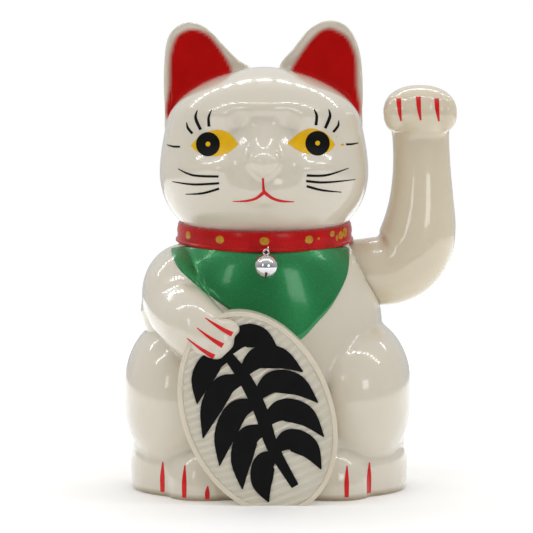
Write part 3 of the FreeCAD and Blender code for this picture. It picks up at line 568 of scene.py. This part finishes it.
def make_body():
    """Front and rear shells from one skin; returns the skin for the paint to lie on."""
    mesh = body_skin()
    spray_ears(mesh)
    for name, side in (("front_shell", 1), ("rear_shell", -1)):
        thing = half_shell(mesh, "cat_" + name, side, PARTING_Y, SHELL_WALL, IVORY, 0.0, ARM_OPENING_RADIUS)
        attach(thing, "root")
        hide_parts(name)
    return mesh


# ---- Waving arm

def arm_skin():
    """The waving arm: root, elbow, forearm, wrist, folded paw and toes."""
    bm = bmesh.new()
    root = PIVOT.z
    bend = [(25, 5, root, 13.6, 13.6, 90), (37, 5, root, 13.7, 13.7, 90), (44, 5, root, 14.6, 14.6, 90),
            (52.0, 5, root + 0.6, 15.2, 15.0, 78),
            (58.5, 5, root + 5.0, 16.8, 15.4, 50), (63.4, 5, root + 11.5, 16.6, 15.3, 24),
            (65.4, 5, root + 20.5, 15.7, 14.7, 6), (66.2, 5, root + 32, 13.7, 13.4, 0),
            (66.3, 5, root + 45, 12.4, 12.4, 0), (65.8, 4.4, root + 57, 12.2, 12.2, 0),
            (65.4, 3, root + 63, 12.6, 12.6, 0), (65.4, 2, root + 70, 12, 12, 0)]
    tube(bm, bend, square=0.98)
    egg(bm, (55.0, 5.0, 105.5), (7.4, 10.5, 8.8))
    egg(bm, (65.0, 1.0, 162.0), (15.6, 14.4, 11.2), square=0.9)
    for count in (-1.5, -0.5, 0.5, 1.5):
        toe = (64.8 + count * 7.4, -8.6 + abs(count) * 1.4, 162.5 - abs(count))
        egg(bm, toe, (4.6, 5.4, 8.0), turn=(8, 0, 0))
    return skin(bm, "arm_skin", ARM_VOXEL, ARM_SOFTENING)


def make_arm():
    """Front and rear halves of the waving arm; returns its skin for the paint to lie on."""
    mesh = arm_skin()
    for name, side in (("arm_front_half", 1), ("arm_rear_half", -1)):
        thing = half_shell(mesh, "cat_" + name, side, PIVOT.y, ARM_WALL, ARM_IVORY, root_x=ARM_ROOT_START)
        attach(thing, "arm")
        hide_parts(name)
    return mesh


# ---- Paint films on the skins

class Canvas:
    """A skin that paint is laid on from the front, which is -Y."""

    def __init__(self, mesh, body):
        bm = bmesh.new()
        bm.from_mesh(mesh)
        bmesh.ops.scale(bm, vec=(1 / MM,) * 3, verts=bm.verts)
        self.tree = BVHTree.FromBMesh(bm)
        self.body = body
        bm.free()

    def hit(self, x, z):
        """The skin's point and normal straight behind a point of the front view."""
        spot, normal, _, _ = self.tree.ray_cast(Vector((x, -200.0, z)), Vector((0, 1, 0)))
        if spot is None:
            raise RuntimeError("paint misses the skin at %.1f, %.1f" % (x, z))
        return spot, normal


def lay_film(bm, canvas, upper, lower, columns, rows, lift, round_edge=0.0):
    """A closed film between two curves of the front view, its top face a little proud of the skin."""
    grid = bmesh.ops.create_grid(bm, x_segments=columns, y_segments=rows, size=1.0)["verts"]
    faces = list({face for vertex in grid for face in vertex.link_faces})
    flat = {}
    for vertex in grid:
        across = (vertex.co.x + 1) / 2
        up = (vertex.co.y + 1) / 2
        top = Vector(upper(across))
        bottom = Vector(lower(across))
        where = bottom.lerp(top, up)
        edge = 1.0
        if round_edge:
            inward = min(columns * min(across, 1 - across), rows * min(up, 1 - up))
            edge = min(1.0, inward * round_edge + 0.15)
        flat[vertex] = (where, edge)
    fresh = new_vertices(bmesh.ops.extrude_face_region(bm, geom=faces, use_keep_orig=True))
    place_film(canvas, grid, fresh, flat, lift)


def place_film(canvas, grid, fresh, flat, lift):
    """Sink the film's underside into the skin and lift its top face."""
    lookup = {(round(vertex.co.x, 6), round(vertex.co.y, 6)): flat[vertex] for vertex in grid}
    for vertex in fresh:
        where, edge = lookup[(round(vertex.co.x, 6), round(vertex.co.y, 6))]
        spot, normal = canvas.hit(where.x, where.y)
        vertex.co = spot + normal * lift * edge
    for vertex in grid:
        where, _ = flat[vertex]
        spot, normal = canvas.hit(where.x, where.y)
        vertex.co = spot - normal * FILM_SINK


def curve(points):
    """A smooth curve through points, as a function from 0 to 1."""
    path = spline(points, 12)

    def at(along):
        place = along * (len(path) - 1)
        low = min(int(place), len(path) - 2)
        part = place - low
        return [a + (b - a) * part for a, b in zip(path[low], path[low + 1])]
    return at


def stroke(bm, canvas, points, widths, columns=26, rows=3, lift=LINE_LIFT):
    """A brush stroke along a few points, whose width changes smoothly along it."""
    middle = curve(points)
    width = curve([(value,) for value in widths])

    def edge(side):
        def at(along):
            here = Vector(middle(along))
            ahead = Vector(middle(min(along + 0.02, 1.0))) - Vector(middle(max(along - 0.02, 0.0)))
            normal = Vector((-ahead.y, ahead.x)).normalized()
            return here + normal * side * width(along)[0] / 2
        return at
    lay_film(bm, canvas, edge(1), edge(-1), columns, rows, lift)


def disc(bm, canvas, centre, radii, lift, columns=24):
    """A round or oval spot of paint."""
    def edge(side):
        def at(along):
            angle = math.pi * (1 - along)
            return (centre[0] + radii[0] * math.cos(angle), centre[1] + side * radii[1] * math.sin(angle))
        return at
    lay_film(bm, canvas, edge(1), edge(-1), columns, 12, lift)


def film_piece(name, bm, material, body):
    """Close a set of films and make them one piece."""
    bmesh.ops.remove_doubles(bm, verts=bm.verts, dist=1e-4)
    bmesh.ops.dissolve_degenerate(bm, dist=1e-4, edges=bm.edges)
    bmesh.ops.recalc_face_normals(bm, faces=bm.faces)
    return finish_piece(name, bm, material, body, sharp_degrees=60)


# Lashes, cheek dashes and whiskers: points of each line in the front view, and its widths.
FACE_LINES = [
    ([(-34.0, 157.0), (-33.4, 154.6), (-31.5, 152.3)], (0.3, 1.0, 1.0)),
    ([(-29.4, 162.0), (-30.1, 158.7), (-28.0, 153.9)], (0.3, 1.2, 1.2)),
    ([(-23.4, 162.0), (-24.6, 158.9), (-24.5, 155.2)], (0.3, 1.0, 1.2)),
    ([(19.0, 162.4), (20.1, 159.6), (19.8, 155.7)], (0.3, 1.1, 1.2)),
    ([(25.2, 162.4), (25.7, 159.4), (23.7, 154.5)], (0.3, 1.2, 1.2)),
    ([(29.5, 157.8), (29.1, 155.4), (27.1, 152.9)], (0.3, 1.0, 1.0)),
    ([(-42.6, 147.6), (-39.8, 146.9), (-36.8, 146.8)], (0.4, 0.8, 0.8)),
    ([(32.6, 147.8), (35.2, 147.9), (38.0, 148.4)], (0.8, 0.8, 0.4)),
    ([(-37.6, 137.6), (-31.0, 135.0), (-20.4, 134.6)], (0.3, 0.9, 0.9)),
    ([(-40.2, 132.2), (-31.0, 131.2), (-20.2, 131.8)], (0.3, 0.9, 0.9)),
    ([(-34.4, 127.0), (-27.0, 127.6), (-20.2, 129.6)], (0.3, 0.9, 0.9)),
    ([(15.9, 135.0), (24.2, 135.1), (33.6, 137.9)], (1.0, 0.9, 0.3)),
    ([(15.7, 132.7), (23.6, 132.1), (36.6, 133.1)], (1.0, 0.9, 0.3)),
    ([(15.9, 130.6), (22.2, 128.9), (30.6, 127.9)], (1.0, 0.9, 0.3)),
]


def paint_face(canvas):
    """Eyes with a few stray specks, lashes, whiskers, cheek dashes and the mouth."""
    yellows = bmesh.new()
    pupils = bmesh.new()
    glints = bmesh.new()
    left_upper = curve([(-32.2, 147.3), (-27.8, 151.6), (-21.4, 153.9), (-16.0, 152.3), (-12.1, 147.8)])
    left_lower = curve([(-32.2, 147.3), (-28.8, 144.4), (-22.2, 142.9), (-16.4, 144.4), (-12.1, 147.8)])
    right_upper = curve([(7.9, 148.3), (12.6, 152.4), (17.8, 154.4), (23.8, 152.6), (28.0, 147.7)])
    right_lower = curve([(7.9, 148.3), (13.0, 145.0), (18.6, 143.7), (24.8, 144.6), (28.0, 147.7)])
    lay_film(yellows, canvas, left_upper, left_lower, 28, 14, EYE_LIFT)
    lay_film(yellows, canvas, right_upper, right_lower, 28, 14, EYE_LIFT)
    for x, z, radius in ((-24.9, 147.9, 5.0), (20.5, 148.3, 5.1)):
        disc(pupils, canvas, (x, z), (radius, radius), PUPIL_LIFT)
        disc(glints, canvas, (x, z), (1.0, 1.0), GLINT_LIFT, 12)
    for x, z, radius in ((26.6, 151.3, 0.35), (28.4, 151.1, 0.3), (31.0, 147.7, 0.75)):
        disc(yellows, canvas, (x, z), (radius, 0.6 * radius), EYE_LIFT, 12)
    film_piece("eye_yellow", yellows, YELLOW, canvas.body)
    film_piece("pupils", pupils, BLACK, canvas.body)
    film_piece("pupil_glints", glints, YELLOW, canvas.body)
    lines = bmesh.new()
    for points, widths in FACE_LINES:
        stroke(lines, canvas, points, widths)
    film_piece("lashes_and_whiskers", lines, BLACK, canvas.body)
    mouth = bmesh.new()
    stroke(mouth, canvas, [(-2.1, 134.0), (-2.0, 131.2), (-1.7, 128.0)], (1.0, 0.9, 1.4))
    stroke(mouth, canvas, [(-1.6, 128.3), (-5.0, 125.6), (-9.4, 124.5), (-14.6, 124.3)], (1.5, 1.1, 0.8, 0.3))
    stroke(mouth, canvas, [(-1.7, 128.3), (1.8, 125.7), (5.6, 124.5), (10.8, 124.1)], (1.5, 1.2, 1.0, 0.3))
    film_piece("mouth_line", mouth, RED, canvas.body)


def paint_claws(body_canvas, arm_canvas):
    """Red strokes between the toes of all four paws."""
    claws = bmesh.new()
    for points in (((-25.6, 77.2), (-20.4, 73.8), (-14.6, 70.6)), ((-29.0, 73.2), (-23.6, 69.2), (-18.4, 66.0)),
                   ((-33.0, 68.8), (-27.4, 64.6), (-22.0, 61.4))):
        stroke(claws, body_canvas, points, (0.4, 1.3, 2.2))
    for x, low, high in ((-44.4, 1.8, 14.6), (-34.8, 1.2, 14.4), (-25.2, 0.8, 6.4), (32.6, 1.6, 14.4),
                         (42.3, 1.8, 14.6)):
        stroke(claws, body_canvas, [(x, low), (x, (low + high) / 2), (x + 0.2, high)], (1.7, 1.9, 0.5))
    film_piece("paw_claw_paint", claws, RED, body_canvas.body)
    waving = bmesh.new()
    for x, low, high in ((55.6, 157.7, 167.2), (63.8, 158.0, 167.9), (71.6, 157.6, 167.2)):
        stroke(waving, arm_canvas, [(x + 0.8, low), (x, (low + high) / 2), (x - 0.2, high)], (0.7, 1.7, 2.1))
    film_piece("waving_claw_paint", waving, RED, arm_canvas.body)


def make_bib(canvas):
    """The green bib, moulded proud of the chest, with a rounded edge."""
    bm = bmesh.new()
    top = curve([(-41.0, 103.2), (-37.0, 104.6), (-20.0, 105.2), (0.0, 104.6), (18.0, 105.2), (32.0, 104.6),
                 (34.0, 103.2)])
    bottom = curve([(-41.0, 103.0), (-37.0, 95.8), (-26.0, 86.4), (-12.6, 76.8), (0.0, 68.5), (11.4, 65.8),
                    (21.0, 74.4), (27.6, 82.2), (32.8, 92.4), (34.0, 102.6)])
    lay_film(bm, canvas, top, bottom, 70, 36, BIB_LIFT, round_edge=0.5)
    film_piece("green_bib", bm, GREEN, canvas.body)


# ---- Collar, coin and bell

COLLAR_MIDDLE = Vector((-1.5, 0.5, 110.9))
COLLAR_TILT = 5.8
# How much wider and deeper the neck is than the collar's own round frame.
COLLAR_SPREAD = (37.7 / 36, 35.2 / 36, 1, 1)
DOT_RADIUS = 35.55
# Gold paint that ran beside the dots: angle round the collar, level, half width and half height.
SMEARS = [(50.0, 1.6, 1.5, 1.3), (66.0, 1.2, 2.0, 2.2), (37.5, 0.4, 0.6, 0.5), (55.0, -0.6, 0.8, 1.4)]


def collar_matrix():
    """From the collar's own round frame, radius 36 mm, to its place on the neck."""
    tilt = Matrix.Rotation(math.radians(COLLAR_TILT), 4, "X")
    return Matrix.Translation(COLLAR_MIDDLE) @ tilt @ Matrix.Diagonal(COLLAR_SPREAD)


def make_collar():
    """The red band with a soft lip on its lower edge, and its gold dots."""
    bm = bmesh.new()
    profile = [(30.0, -4.3), (35.9, -4.4), (36.5, -3.9), (36.4, -3.2), (35.8, -2.7), (35.6, 0.0), (35.5, 3.0),
               (35.1, 3.8), (34.3, 4.1), (30.0, 4.1)]
    ring = [bm.verts.new((radius, 0, level)) for radius, level in profile]
    edges = [bm.edges.new(pair) for pair in zip(ring, ring[1:] + ring[:1])]
    full_turn(bm, ring + edges, 128)
    bmesh.ops.transform(bm, matrix=collar_matrix(), verts=bm.verts)
    finish_piece("red_collar", bm, COLLAR_RED, "root", ["collar_band"])
    dots = bmesh.new()
    marks = [(degrees, 0.2, 1.9, 1.8) for degrees in range(0, 360, 30)] + SMEARS
    for degrees, level, wide, tall in marks:
        angle = math.radians(degrees - 90)
        blob = bmesh.ops.create_uvsphere(dots, u_segments=20, v_segments=12, radius=1.0)["verts"]
        place = (collar_matrix() @ Matrix.Rotation(angle, 4, "Z")
                 @ Matrix.Translation(Vector((DOT_RADIUS, 0, level))) @ Matrix.Diagonal((0.28, wide, tall, 1)))
        bmesh.ops.transform(dots, matrix=place, verts=blob)
    finish_piece("collar_gold_dots", dots, GOLD, "root")


COIN_CENTRE = Vector((-4.25, -53.0, 38.0))
COIN_LEAN = -22.0
COIN_LONG = 43.3
COIN_WIDE = 30.7
COIN_RIM = 1.9
COIN_DEPTH = 17.2
COIN_STEP = 0.8
RIDGE_PITCH = 3.3
RIDGE_RISE = 0.5
SHEET_THICKNESS = 0.6
FLOOR_GAP = 0.05


def coin_matrix():
    """From the coin's own frame, X across, Z along, -Y its face, to where it stands."""
    return Matrix.Translation(COIN_CENTRE) @ Matrix.Rotation(math.radians(COIN_LEAN), 4, "Y")


def coin_ridge(across, along):
    """How far the coin's face stands back at a point: soft rolled ridges that fan a little upwards."""
    slope = across * (0.10 + 0.004 * along) + across * across * 0.004
    wave = 0.5 + 0.5 * math.cos(math.tau * (along - slope) / RIDGE_PITCH)
    return COIN_STEP - RIDGE_RISE * wave ** 3


def coin_face_sheet(bm):
    """The ridged face as a closed sheet inside the rim."""
    inner_wide = COIN_WIDE - COIN_RIM - 0.3
    inner_long = COIN_LONG - COIN_RIM - 0.3
    grid = bmesh.ops.create_grid(bm, x_segments=28, y_segments=270, size=1.0)["verts"]
    for vertex in grid:
        along = vertex.co.y * inner_long
        across = vertex.co.x * inner_wide * math.sqrt(max(0.0, 1 - vertex.co.y ** 2))
        vertex.co = Vector((across, coin_ridge(across, along), along))
    faces = list({face for vertex in grid for face in vertex.link_faces})
    made = bmesh.ops.extrude_face_region(bm, geom=faces, use_keep_orig=True)
    bmesh.ops.translate(bm, vec=(0, SHEET_THICKNESS, 0), verts=new_vertices(made))


def make_coin():
    """The oval coin: side wall, raised rim, ridged face and the painted sprig on it."""
    bm = bmesh.new()
    ring = bmesh.ops.create_circle(bm, segments=160, radius=1.0, cap_ends=True)["verts"]
    for vertex in ring:
        vertex.co = Vector((vertex.co.x * COIN_WIDE, 0.0, vertex.co.y * COIN_LONG))
    face = ring[0].link_faces[0]
    made = bmesh.ops.extrude_face_region(bm, geom=[face], use_keep_orig=True)
    bmesh.ops.translate(bm, vec=(0, COIN_DEPTH, 0), verts=new_vertices(made))
    bmesh.ops.recalc_face_normals(bm, faces=bm.faces)
    bmesh.ops.inset_region(bm, faces=[face], thickness=COIN_RIM, depth=0.0, use_even_offset=True)
    bmesh.ops.inset_region(bm, faces=[face], thickness=0.4, depth=-COIN_STEP - 0.4, use_even_offset=True)
    rim = [edge for edge in bm.edges if all(abs(vertex.co.y) < 0.01 for vertex in edge.verts)
           and len(edge.link_faces) == 2 and edge.calc_face_angle(0) > 0.5]
    bmesh.ops.bevel(bm, geom=rim, offset=0.45, offset_type="OFFSET", segments=3, profile=0.5,
                    affect="EDGES", material=-1)
    coin_face_sheet(bm)
    bmesh.ops.remove_doubles(bm, verts=bm.verts, dist=1e-4)
    bmesh.ops.transform(bm, matrix=coin_matrix(), verts=bm.verts)
    stand_on_floor(bm)
    bmesh.ops.recalc_face_normals(bm, faces=bm.faces)
    finish_piece("koban_coin", bm, COIN_IVORY, "root", ["koban_plaque"])
    paint_sprig()


def stand_on_floor(bm):
    """Cut a form flat just above the floor and close the cut."""
    slice_at(bm, (0, 0, FLOOR_GAP), (0, 0, -1))
    cut = [edge for edge in bm.edges
           if edge.is_boundary and max(vertex.co.z for vertex in edge.verts) < FLOOR_GAP + 0.01]
    bmesh.ops.holes_fill(bm, edges=cut, sides=0)


class CoinFace:
    """The coin's face as a canvas in the coin's own frame, a little proud so that crossing strokes differ."""

    def __init__(self, proud):
        self.proud = proud

    def hit(self, x, z):
        return Vector((x, COIN_STEP - RIDGE_RISE - self.proud, z)), Vector((0, -1, 0))


# Stem and leaves of the painted sprig: points of each in the coin's frame. Leaves taper at both ends.
SPRIG_STEM = [(-3.0, 29.0), (0.5, 15.0), (1.5, 0.0), (0.5, -15.0), (3.0, -33.5)]
SPRIG_LEAVES = [
    [(-2.0, 26.0), (-9.0, 26.5), (-16.0, 21.5), (-21.5, 13.0)],
    [(-2.0, 27.5), (5.5, 31.5), (12.5, 28.5), (17.5, 21.0)],
    [(0.0, 15.0), (-8.5, 15.5), (-17.0, 9.0), (-24.5, -1.0)],
    [(0.0, 17.0), (8.5, 21.0), (17.0, 17.5), (23.5, 9.0)],
    [(1.5, 4.0), (-7.5, 4.0), (-16.0, -3.5), (-22.5, -14.0)],
    [(1.5, 6.0), (10.5, 9.5), (19.0, 5.0), (24.5, -5.0)],
    [(1.0, -7.5), (-7.0, -7.5), (-13.5, -15.5), (-17.5, -26.5)],
    [(1.0, -5.0), (9.5, -2.5), (17.5, -8.0), (21.5, -19.0)],
    [(1.0, -18.5), (-5.0, -20.0), (-9.0, -27.0), (-9.5, -35.5)],
    [(1.0, -16.5), (8.0, -15.0), (14.0, -21.0), (15.5, -31.0)],
]


def paint_sprig():
    """A bold black sprig of bamboo leaves, brushed on the coin's face."""
    bm = bmesh.new()
    stroke(bm, CoinFace(0.0), SPRIG_STEM, (3.6, 5.4, 5.6, 5.0, 3.2), columns=40, rows=6, lift=SPRIG_LIFT)
    for count, points in enumerate(SPRIG_LEAVES):
        stroke(bm, CoinFace(0.03 * (1 + count % 3)), points, (3.2, 9.0, 8.6, 0.5), columns=36, rows=8,
               lift=SPRIG_LIFT)
    bmesh.ops.transform(bm, matrix=coin_matrix(), verts=bm.verts)
    film_piece("coin_sprig_paint", bm, BLACK, "root")


BELL = Vector((-0.8, -42.1, 97.6))
BELL_RADIUS = 5.0
BELL_WALL = 0.4
SEAM_RADIUS = 5.22
SLOT_HALF_WIDTH = 0.5
SLOT_TOP = -2.2
EYE_LEVEL = 5.9
EYE_RADIUS = 1.1
EYE_WIRE = 0.32


def make_bell():
    """The chromed jingle bell: two halves with a rolled seam, a cross slot below and its eye."""
    upper = bmesh.new()
    outline = [(0.0, BELL_RADIUS)]
    for step in range(1, 16):
        angle = step * math.pi / 32
        outline.append((BELL_RADIUS * math.sin(angle), BELL_RADIUS * math.cos(angle)))
    outline += [(BELL_RADIUS, 0.25), (SEAM_RADIUS, 0.2), (SEAM_RADIUS, 0.0), (BELL_RADIUS - 0.6, 0.0)]
    profile = [upper.verts.new((radius, 0, level)) for radius, level in outline]
    edges = [upper.edges.new(pair) for pair in zip(profile, profile[1:])]
    full_turn(upper, profile + edges, 64)
    lower = upper.copy()
    bmesh.ops.scale(lower, vec=(1, 1, -1), verts=lower.verts)
    bmesh.ops.reverse_faces(lower, faces=lower.faces)
    cut_bell_slots(lower)
    for bm, name, node in ((upper, "bell_cap", "bell_upper_half"), (lower, "bell_cup", "bell_lower_half")):
        bmesh.ops.translate(bm, vec=BELL, verts=bm.verts)
        thing = finish_piece(name, bm, CHROME, "bell", [node])
        wall = thing.modifiers.new("wall", "SOLIDIFY")
        wall.thickness = BELL_WALL * MM
        wall.offset = -1.0
    eye = bmesh.new()
    wire_ring(eye, BELL + Vector((0, 0, EYE_LEVEL)))
    finish_piece("bell_eye", eye, CHROME, "bell")


def cut_bell_slots(bm):
    """A cross slot through the foot of the lower half."""
    for normal in (Vector((1, 0, 0)), Vector((0, 1, 0))):
        for side in (1, -1):
            slice_at(bm, normal * side * SLOT_HALF_WIDTH, normal, clear=False)
    doomed = []
    for face in bm.faces:
        middle = face.calc_center_median()
        if middle.z < SLOT_TOP and min(abs(middle.x), abs(middle.y)) < SLOT_HALF_WIDTH:
            doomed.append(face)
    bmesh.ops.delete(bm, geom=doomed, context="FACES")


def wire_ring(bm, centre):
    """A ring of round wire, its hole along Y."""
    section = bmesh.ops.create_circle(bm, segments=12, radius=EYE_WIRE, cap_ends=False)["verts"]
    edges = list({edge for vertex in section for edge in vertex.link_edges})
    upright = Matrix.Rotation(math.pi / 2, 3, "X")
    bmesh.ops.rotate(bm, cent=(0, 0, 0), matrix=upright, verts=section)
    bmesh.ops.translate(bm, vec=(EYE_RADIUS, 0, 0), verts=section)
    full_turn(bm, section + edges, 32)
    bmesh.ops.rotate(bm, cent=(0, 0, 0), matrix=upright, verts=bm.verts)
    bmesh.ops.translate(bm, vec=centre, verts=bm.verts)


# ---- Materials of the CAD nodes that stay in view

NODE_FINISH = {
    "mechanism_frame": MECHANISM, "pendulum_lever": MECHANISM, "arm_hub": MECHANISM, "coil_bobbin": MECHANISM,
    "base_plate": BASE, "battery_door": BASE, "drive_coil": COPPER, "drive_magnet": FERRITE,
    "circuit_board": LAMINATE, "board_capacitor": CASE, "board_transistor": CASE, "battery_cell": CELL,
    "positive_lead": LEAD_RED, "negative_lead": LEAD_BLACK, "pivot_shaft": STEEL, "counterweight": STEEL,
    "frame_screws": STEEL, "base_screws": STEEL, "positive_contact": STEEL, "negative_contact": STEEL,
    "bell_pellet": STEEL, "bell_hanger": CHROME,
}


def dress_nodes():
    """Give every CAD node that stays its own material."""
    for name, material in NODE_FINISH.items():
        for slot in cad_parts[name].material_slots:
            slot.material = material


# ---- Stage

CAMERA_AT = Vector((-0.00065, -1.0, 0.150))
CAMERA_AIM = Vector((-0.00065, 0.0, 0.0953))
CAMERA_LENS = 157.3
LAMPS_IN_ROW = 17
LAMP_PITCH = 0.13
# Depth and level of the two rows of small lamps overhead.
LAMP_ROWS = {"front": (-0.27, 0.87), "rear": (0.50, 0.90)}


def make_stage():
    """The floor, the tent, the lamps and the camera."""
    make_floor()
    make_tent()
    make_lamps()
    make_camera()
    bpy.context.scene.view_settings.view_transform = "Standard"


def make_floor():
    """A pale floor with painted light: it glows faintly near the figurine and more strongly further out, so it
    shows white while the contact shadow stays.
    """
    floor = bmesh.new()
    corners = bmesh.ops.create_grid(floor, x_segments=2, y_segments=2, size=1.0)["verts"]
    bmesh.ops.scale(floor, vec=(1000.0, 700.0, 1.0), verts=corners)
    bmesh.ops.translate(floor, vec=(0.0, 250.0, 0.0), verts=corners)
    ground = new_object("floor", mesh_from(floor, "floor"))
    material, output, place = start_material("white_floor")
    colour = ramp(material, noise(material, place, 400.0), [(0.3, "#FAFAF9"), (0.7, "#FCFCFB")])
    # Painted light: emission that grows with distance from the figurine, so the floor glows though it is no lamp.
    reach = add(material, "ShaderNodeVectorMath", operation="LENGTH", links=[(0, place)]).outputs["Value"]
    painted_floor_glow = add(material, "ShaderNodeMapRange", links=[("Value", reach)],
               From_Min=0.05, From_Max=0.4, To_Min=0.1, To_Max=0.45).outputs["Result"]
    end_material(material, output, [("Base Color", colour), ("Emission Strength", painted_floor_glow)],
                 Roughness=0.6, Emission_Color=tone("#FFFFFF"))
    ground.data.materials.append(material)


def make_lamps():
    """Two rows of small lamps overhead, and a soft box at each side of the camera."""
    for row, (depth, level) in LAMP_ROWS.items():
        for count in range(LAMPS_IN_ROW):
            across = (count - LAMPS_IN_ROW // 2) * LAMP_PITCH
            lamp("%s_row_%d" % (row, count), (across, depth, level), (0, -0.02, 0.15), (0.09, 0.04), 0.15)
    lamp("left_box", (-0.50, -0.82, 0.40), (0, 0, 0.1), (0.12, 0.3), 0.34)
    lamp("right_box", (0.41, -0.96, 0.345), (0, 0, 0.1), (0.26, 0.24), 0.6)


def make_camera():
    """The camera: a long lens a metre in front of the figurine, looking slightly down."""
    camera = bpy.data.cameras.new("camera")
    camera.sensor_width = 36.0
    camera.lens = CAMERA_LENS
    camera.clip_start = 0.01
    camera.clip_end = 20.0
    viewer = bpy.data.objects.new("camera", camera)
    bpy.context.scene.collection.objects.link(viewer)
    viewer.location = CAMERA_AT
    viewer.rotation_euler = (CAMERA_AIM - CAMERA_AT).to_track_quat("-Z", "Y").to_euler()
    bpy.context.scene.camera = viewer


def make_tent():
    """A white tent: lit from above, and darker low down on the side the figurine faces."""
    world = bpy.data.worlds.new("tent")
    world.use_nodes = True
    world.node_tree.nodes.clear()
    place = add(world, "ShaderNodeTexCoord").outputs["Generated"]
    slope = add(world, "ShaderNodeVectorMath", operation="DOT_PRODUCT", links=[(0, place)])
    slope.inputs[1].default_value = (0.0, 0.4, 1.0)
    lit = add(world, "ShaderNodeMapRange", links=[("Value", slope.outputs["Value"])],
              From_Min=-0.2, From_Max=0.8, To_Min=0.26, To_Max=0.74)
    seen = add(world, "ShaderNodeLightPath").outputs["Is Camera Ray"]
    strength = add(world, "ShaderNodeMix", links=[("Factor", seen), ("A", lit.outputs["Result"])])
    strength.inputs["B"].default_value = 1.0
    sky = add(world, "ShaderNodeBackground", links=[("Strength", strength.outputs["Result"])],
              Color=tone("#FFFFFF"))
    output = add(world, "ShaderNodeOutputWorld")
    world.node_tree.links.new(output.inputs["Surface"], sky.outputs["Background"])
    bpy.context.scene.world = world


def lamp(name, where, aim, size, power):
    """A rectangular soft lamp."""
    light = bpy.data.lights.new(name, "AREA")
    light.shape = "RECTANGLE"
    light.size = size[0]
    light.size_y = size[1]
    light.energy = power
    thing = bpy.data.objects.new(name, light)
    bpy.context.scene.collection.objects.link(thing)
    thing.location = where
    thing.rotation_euler = (Vector(aim) - Vector(where)).to_track_quat("-Z", "Y").to_euler()


make_stage()
dress_nodes()
body_mesh = make_body()
arm_mesh = make_arm()
body_canvas = Canvas(body_mesh, "root")
arm_canvas = Canvas(arm_mesh, "arm")
paint_face(body_canvas)
paint_claws(body_canvas, arm_canvas)
make_bib(body_canvas)
make_collar()
make_coin()
make_bell()
